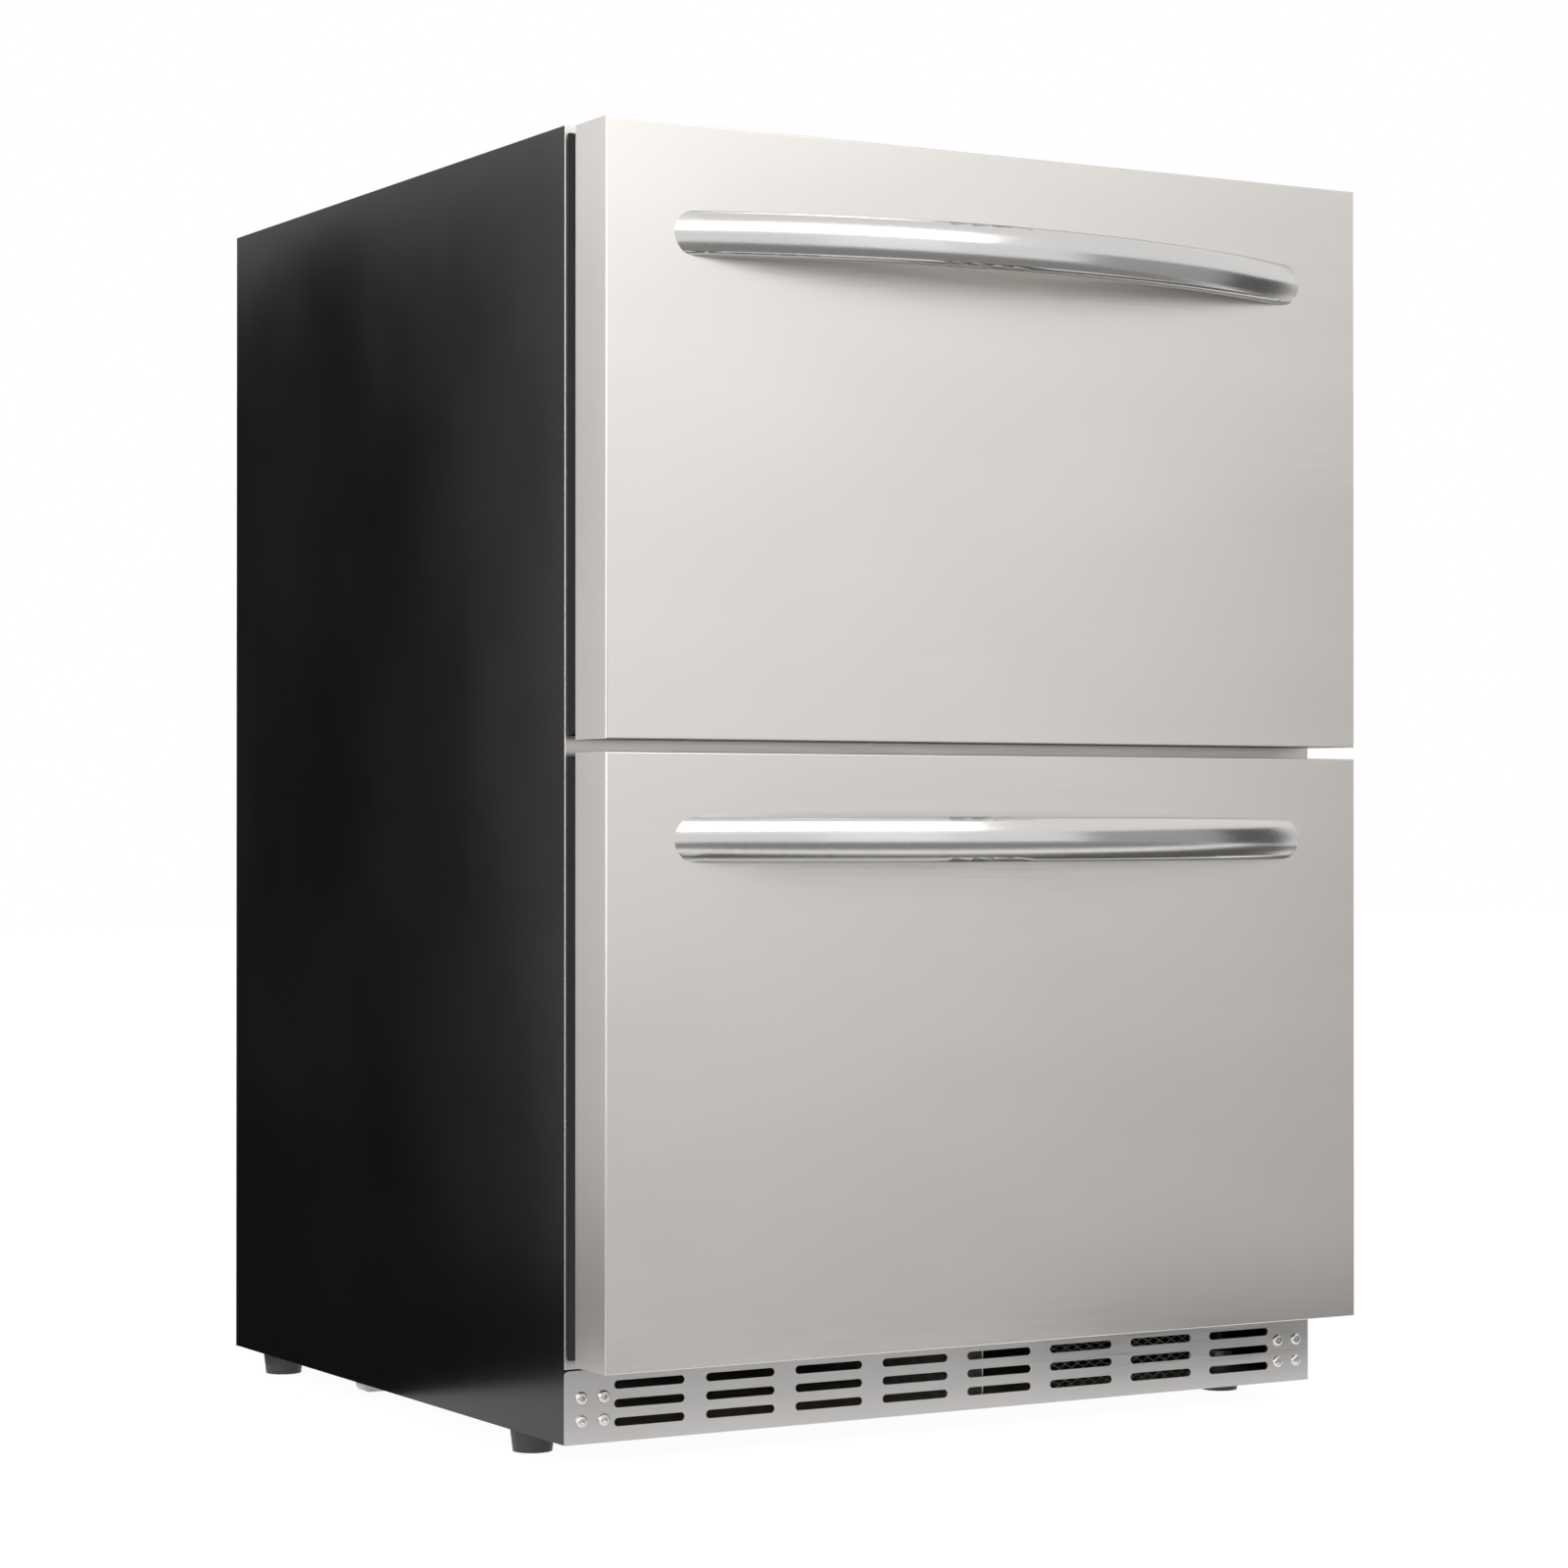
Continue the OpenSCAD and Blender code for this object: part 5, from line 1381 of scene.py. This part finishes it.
def modelFan(name, node, along):
    low, high, middle = boxOf(node)
    hub = addRod("fanHub", fan["hub"], fan["hubDepth"], (0, 0, fan["hubDepth"] / 2), sides=48)
    startEdit(hub)
    pickFaces(hub, facing("z", "-"))
    roundEdges(fan["hubEdge"], 5)
    pickFaces(hub, facing("z", "+"))
    insetFaces(fan["hubWall"])
    pushOut(0, 0, -fan["hubHollow"])
    endEdit()
    axis = "XYZ".index(along)
    length = high[axis] - low[axis]
    inset = fan["shaftInset"]
    shaft = addRod("fanShaft", fan["shaft"], length - inset, (0, 0, (length + inset) / 2), sides=24)
    blade = modelBlade()
    turns = [i * math.tau / fan["blades"] for i in range(fan["blades"])]
    blades = [copyPiece(blade, (0, 0, fan["bladeUp"]), turn) for turn in turns]
    discard(blade)
    wheel = joinPieces(name, [hub, shaft, *blades])
    wheel.rotation_euler = {"X": (0, math.pi / 2, 0), "Y": (-math.pi / 2, 0, 0)}[along]
    middle[axis] = low[axis]
    wheel.location = middle
    finishPiece(settle(wheel, name), node, smoothUpTo=40)


def modelRing(name, radius, wire, place, along):
    clearSelection()
    bpy.ops.mesh.primitive_torus_add(major_radius=radius, minor_radius=wire, major_segments=56,
                                     minor_segments=10, location=place)
    bpy.context.object.rotation_euler = turnTo[along]
    return settle(bpy.context.object, name)


def modelFanGuard():
    # wire rings in the mouth of the evaporator cover
    place = boxOf("evaporator_fan")[2]
    place.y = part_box("evaporator_cover")[0].y
    wire = guardRings["wire"]
    rings = [modelRing("guardRing", radius, wire, place, "Y") for radius in guardRings["radii"]]
    spoke = addRod("guardSpoke", wire, 2 * guardRings["reach"], (0, 0, 0), "X", sides=12)
    for i in range(guardRings["spokes"]):
        turn = i * math.pi / guardRings["spokes"]
        rings.append(copyPiece(spoke, place - Vector((0, wire, 0)), turn, "Y"))
    discard(spoke)
    finishExtra(joinPieces("evaporatorFanGuard", rings), "bright_screw")


def modelShroud():
    low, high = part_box("fan_shroud")
    middle = boxOf("condenser_fan")[2]
    shroud = copyNode("fan_shroud", "fanShroud")
    softenPiece(shroud, shroudRing["edge"], 2, sharpFrom)
    rings = []
    for x in (low.x + shroudRing["inset"], high.x - shroudRing["inset"]):
        place = (x, middle.y, middle.z)
        rings.append(modelRing("shroudRing", shroudRing["radius"], shroudRing["bead"], place, "X"))
    finishPiece(joinPieces("fanShroud", [shroud, *rings]), "fan_shroud", smoothUpTo=50)


modelFan("condenserFanWheel", "condenser_fan", "X")
modelFan("evaporatorFanWheel", "evaporator_fan", "Y")
modelFanGuard()
modelShroud()
print("stage: fans")


# compressor: a welded can with a seam, on a foot plate with rubber grommets, with its relay box
can = {
    "radius": 68.4 * mm,
    "shoulder": 50 * mm,
    "foot": 12 * mm,
    "seamUp": 66 * mm,
    "seam": 7 * mm,
    "seamProud": 1.6 * mm,
    "lift": 14 * mm,
    "height": 162 * mm,
    "plate": (70 * mm, 60 * mm, 3 * mm),
    "plateCorner": 16 * mm,
    "plateSunk": 0.5 * mm,
    "leg": (58 * mm, 48 * mm),
    "grommet": 9 * mm,
    "grommetHeight": 13.4 * mm,
    "port": 64 * mm,
    "portAngle": 55,
    "tube": 4 * mm,
    "edge": 0.6 * mm,
    "grommetPitch": 4.4 * mm,
    "grommetLow": 1.5 * mm,
    "grommetDepth": 0.2,       # share of the radius
    "relay": (26 * mm, 52 * mm, 46 * mm),    # out, across and up
    "relayUp": 52 * mm,
    "relayProud": 15.6 * mm,
    "relayBorder": 5 * mm,
    "relayStep": 2 * mm,
    "relayEdge": 1.2 * mm,
}


def modelCompressor():
    low, high, middle = boxOf("compressor")
    x, y = middle.x, middle.y
    base = low.z + can["lift"]
    body = addRod("compressorCan", can["radius"], can["height"], (x, y, base + can["height"] / 2), sides=72)
    startEdit(body)
    pickFaces(body, facing("z", "+"))
    roundEdges(can["shoulder"], 12)
    pickFaces(body, facing("z", "-"))
    roundEdges(can["foot"], 5)
    seamLow = base + can["seamUp"]
    for level in (seamLow, seamLow + can["seam"]):
        cutAcross((0, 0, level), (0, 0, 1))
    pickFaces(body, lambda place, normal: abs(normal.z) < 0.1 and seamLow < place.z < seamLow + can["seam"])
    bpy.ops.mesh.extrude_region_shrink_fatten(TRANSFORM_OT_shrink_fatten={"value": can["seamProud"]})
    endEdit()
    softenPiece(body, can["edge"], 2, sharpFrom)
    halfX, halfY, thick = can["plate"]
    plate = addBlock("footPlate", (x - halfX, y - halfY, base - thick),
                     (x + halfX, y + halfY, base + can["plateSunk"]))
    roundCorners(plate, running("z"), can["plateCorner"], 6)
    softenPiece(plate, can["edge"], 2, sharpFrom)
    tubes = []
    start = base + can["height"] - can["shoulder"]
    for angle in (0, math.radians(can["portAngle"])):
        across, along = can["port"] * math.cos(angle), can["port"] * math.sin(angle)
        place = (x + across, y + along, (start + high.z) / 2)
        tubes.append(addRod("portTube", can["tube"], high.z - start, place, sides=24))
    finishPiece(joinPieces("compressorCan", [body, plate, *tubes]), "compressor")
    grommets = []
    for side in (-1, 1):
        for end in (-1, 1):
            spot = (x + side * can["leg"][0], y + end * can["leg"][1], low.z + can["lift"] / 2)
            grommet = addRod("grommet", can["grommet"], can["grommetHeight"], spot, sides=32)
            startEdit(grommet)
            bottom = low.z + can["grommetLow"]
            cutGrooves(grommet, "Z", bottom, can["grommetPitch"], 2, can["grommetDepth"], spot)
            endEdit()
            grommets.append(grommet)
    finishExtra(joinPieces("compressorGrommets", grommets), "gasket_rubber", smoothUpTo=50)
    out, across, up = can["relay"]
    start = (x - can["radius"] - can["relayProud"], y - across / 2, base + can["relayUp"])
    relay = addBlock("compressorRelay", start, Vector(start) + Vector((out, across, up)))
    startEdit(relay)
    pickFaces(relay, facing("x", "-"))
    insetFaces(can["relayBorder"])
    insetFaces(can["relayStep"], depth=can["relayStep"])
    endEdit()
    softenPiece(relay, can["relayEdge"], 3, 0.5)
    finishExtra(relay, "black_plastic")


modelCompressor()
print("stage: compressor")


# filter drier: a spun copper shell, drawn in at both ends
drier = {
    "neck": 6.4 * mm,
    "steps": 6,
    "crimp": 0.10,             # share of the radius
    "crimpIn": 10 * mm,
    "crimpWidth": 3 * mm,
}


def modelDrier():
    low, high, middle = boxOf("filter_drier")
    shell = addRod("filterDrier", (high.x - low.x) / 2, high.z - low.z, middle, sides=40)
    startEdit(shell)
    pickFaces(shell, facing("z"))
    roundEdges(drier["neck"], drier["steps"])
    for end, sign in ((low.z, 1), (high.z, -1)):
        start = end + sign * drier["crimpIn"] - drier["crimpWidth"] / 2
        cutGrooves(shell, "Z", start, drier["crimpWidth"], 1, drier["crimp"], middle)
    endEdit()
    finishPiece(shell, "filter_drier", smoothUpTo=60)


modelDrier()
print("stage: drier")


# heat exchangers: tubes with return bends through many thin fins, between two end plates
coilShape = {
    "stub": 10 * mm,
    "plateGap": 2 * mm,
    "plateEdge": 0.4 * mm,
    "tube": 3.8 * mm,
    "rows": 5,
    "fin": 0.35 * mm,
    "endPlate": 1.2 * mm,
    "overlap": 0.25 * mm,
}


def modelBend(radius, place, outwards, flat):
    clearSelection()
    bpy.ops.mesh.primitive_torus_add(major_radius=radius, minor_radius=coilShape["tube"],
                                     major_segments=32, minor_segments=16)
    bend = bpy.context.object
    bend.rotation_euler = (0, 0, 0) if flat else (math.pi / 2, 0, 0)
    settle(bend, "returnBend")
    startEdit(bend)
    cutAcross((0, 0, 0), (-outwards, 0, 0), clear_outer=True, use_fill=True)
    endEdit()
    # the bend starts a little way inside the tubes
    bend.location = Vector(place) - Vector((outwards * coilShape["overlap"], 0, 0))
    return settle(bend, "returnBend")


def modelCoil(name, node, turned, fins):
    # modelled along X from the origin, then turned to Y where the tubes run that way
    low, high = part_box(node)
    size = high - low
    height, depth = size.z, size.x if turned else size.y
    pitch = height / coilShape["rows"]
    overhang = pitch / 2 + coilShape["tube"]
    length = (size.y if turned else size.x) - 2 * overhang
    pieces = []
    for y in (depth / 4, depth * 3 / 4):
        for row in range(coilShape["rows"]):
            place = (length / 2, y, (row + 0.5) * pitch)
            pieces.append(addRod("coilTube", coilShape["tube"], length, place, "X", sides=16))
        for row in range(coilShape["rows"] - 1):
            end = length if row % 2 else 0
            pieces.append(modelBend(pitch / 2, (end, y, (row + 1) * pitch), 1 if row % 2 else -1, False))
    pieces.append(modelBend(depth / 4, (length, depth / 2, pitch / 2), 1, True))
    half = coilShape["fin"] / 2
    fin = addBlock("coilFin", (-half, 0, 0), (half, depth, height))
    stub = coilShape["stub"]
    step = (length - 2 * stub) / (fins - 1)
    pieces += [copyPiece(fin, (stub + i * step, 0, 0)) for i in range(fins)]
    discard(fin)
    half = coilShape["endPlate"] / 2
    for x in (stub - coilShape["plateGap"], length - stub + coilShape["plateGap"]):
        plate = addBlock("endPlate", (x - half, 0, 0), (x + half, depth, height))
        startEdit(plate)
        for sign in (-1, 1):
            pickEdges(plate, lambda place, run: abs(run.z) > square and (place.y - depth / 2) * sign > 0)
            roundEdges(coilShape["plateEdge"], 2)
        endEdit()
        pieces.append(plate)
    coil = joinPieces(name, pieces)
    if turned:
        coil.rotation_euler = (0, 0, math.pi / 2)
        coil.location = (high.x, low.y + overhang, low.z)
    else:
        coil.location = (low.x + overhang, low.y, low.z)
    finishPiece(settle(coil, name), node, smoothUpTo=40)


modelCoil("evaporatorFins", "evaporator_coil", turned=False, fins=46)
modelCoil("condenserFins", "condenser_coil", turned=True, fins=30)
print("stage: heat exchangers")


# refrigerant lines: soft copper bent round its corners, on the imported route
lineBend = 8 * mm
# radius, then the points of the route, in millimetres
lineRoutes = {
    "suctionLine": (4.0, (-150, 264.75, 651), (-200, 254.75, 651), (-200, 254.75, 231.5),
                    (-56, 242.65, 231.5), (-56, 242.65, 215.1)),
    "dischargeLine": (4.0, (-83.3, 295.1, 215.1), (-83.3, 295.1, 223.2), (-83.3, 312.55, 223.2),
                      (224, 312.55, 223.2), (224, 165.75, 223.2), (224, 165.75, 177.9),
                      (190, 165.75, 177.9), (190, 188.65, 177.9)),
    "liquidLine": (1.5, (150, 188.65, 177.9), (150, 165.75, 177.9), (150, 165.75, 65.5),
                   (20, 165.75, 65.5), (20, 184.75, 65.5), (20, 184.75, 91.5)),
    "capillaryLine": (1.5, (20, 184.75, 175.5), (20, 184.75, 247.5), (-226, 184.75, 247.5),
                      (-226, 254.75, 247.5), (-226, 254.75, 651), (-150, 244.75, 651)),
}


def modelLine(name, radius, *points):
    route = [Vector(point) * mm for point in points]
    clearSelection()
    bpy.ops.mesh.primitive_plane_add(size=1 * mm, location=route[0])
    line = settle(bpy.context.object, name)
    startEdit(line)
    bpy.ops.mesh.select_mode(type="VERT")
    bpy.ops.mesh.select_all(action="SELECT")
    bpy.ops.mesh.merge(type="CENTER")
    for start, end in zip(route, route[1:]):
        pushOut(*(end - start))
    ends = (route[0], route[-1])
    pickPoints(line, lambda point: all((point - end).length > hair for end in ends))
    bpy.ops.mesh.bevel(offset=lineBend, segments=7, affect="VERTICES")
    endEdit()
    bpy.ops.object.convert(target="CURVE")
    line = bpy.context.object
    line.data.bevel_depth = radius * mm
    line.data.bevel_resolution = 5
    line.data.use_fill_caps = True
    bpy.ops.object.convert(target="MESH")
    return settle(bpy.context.object, name)


lineSet = joinPieces("refrigerantLines", [modelLine(name, *route) for name, route in lineRoutes.items()])
finishPiece(lineSet, "refrigerant_lines", smoothUpTo=60)
print("stage: lines")
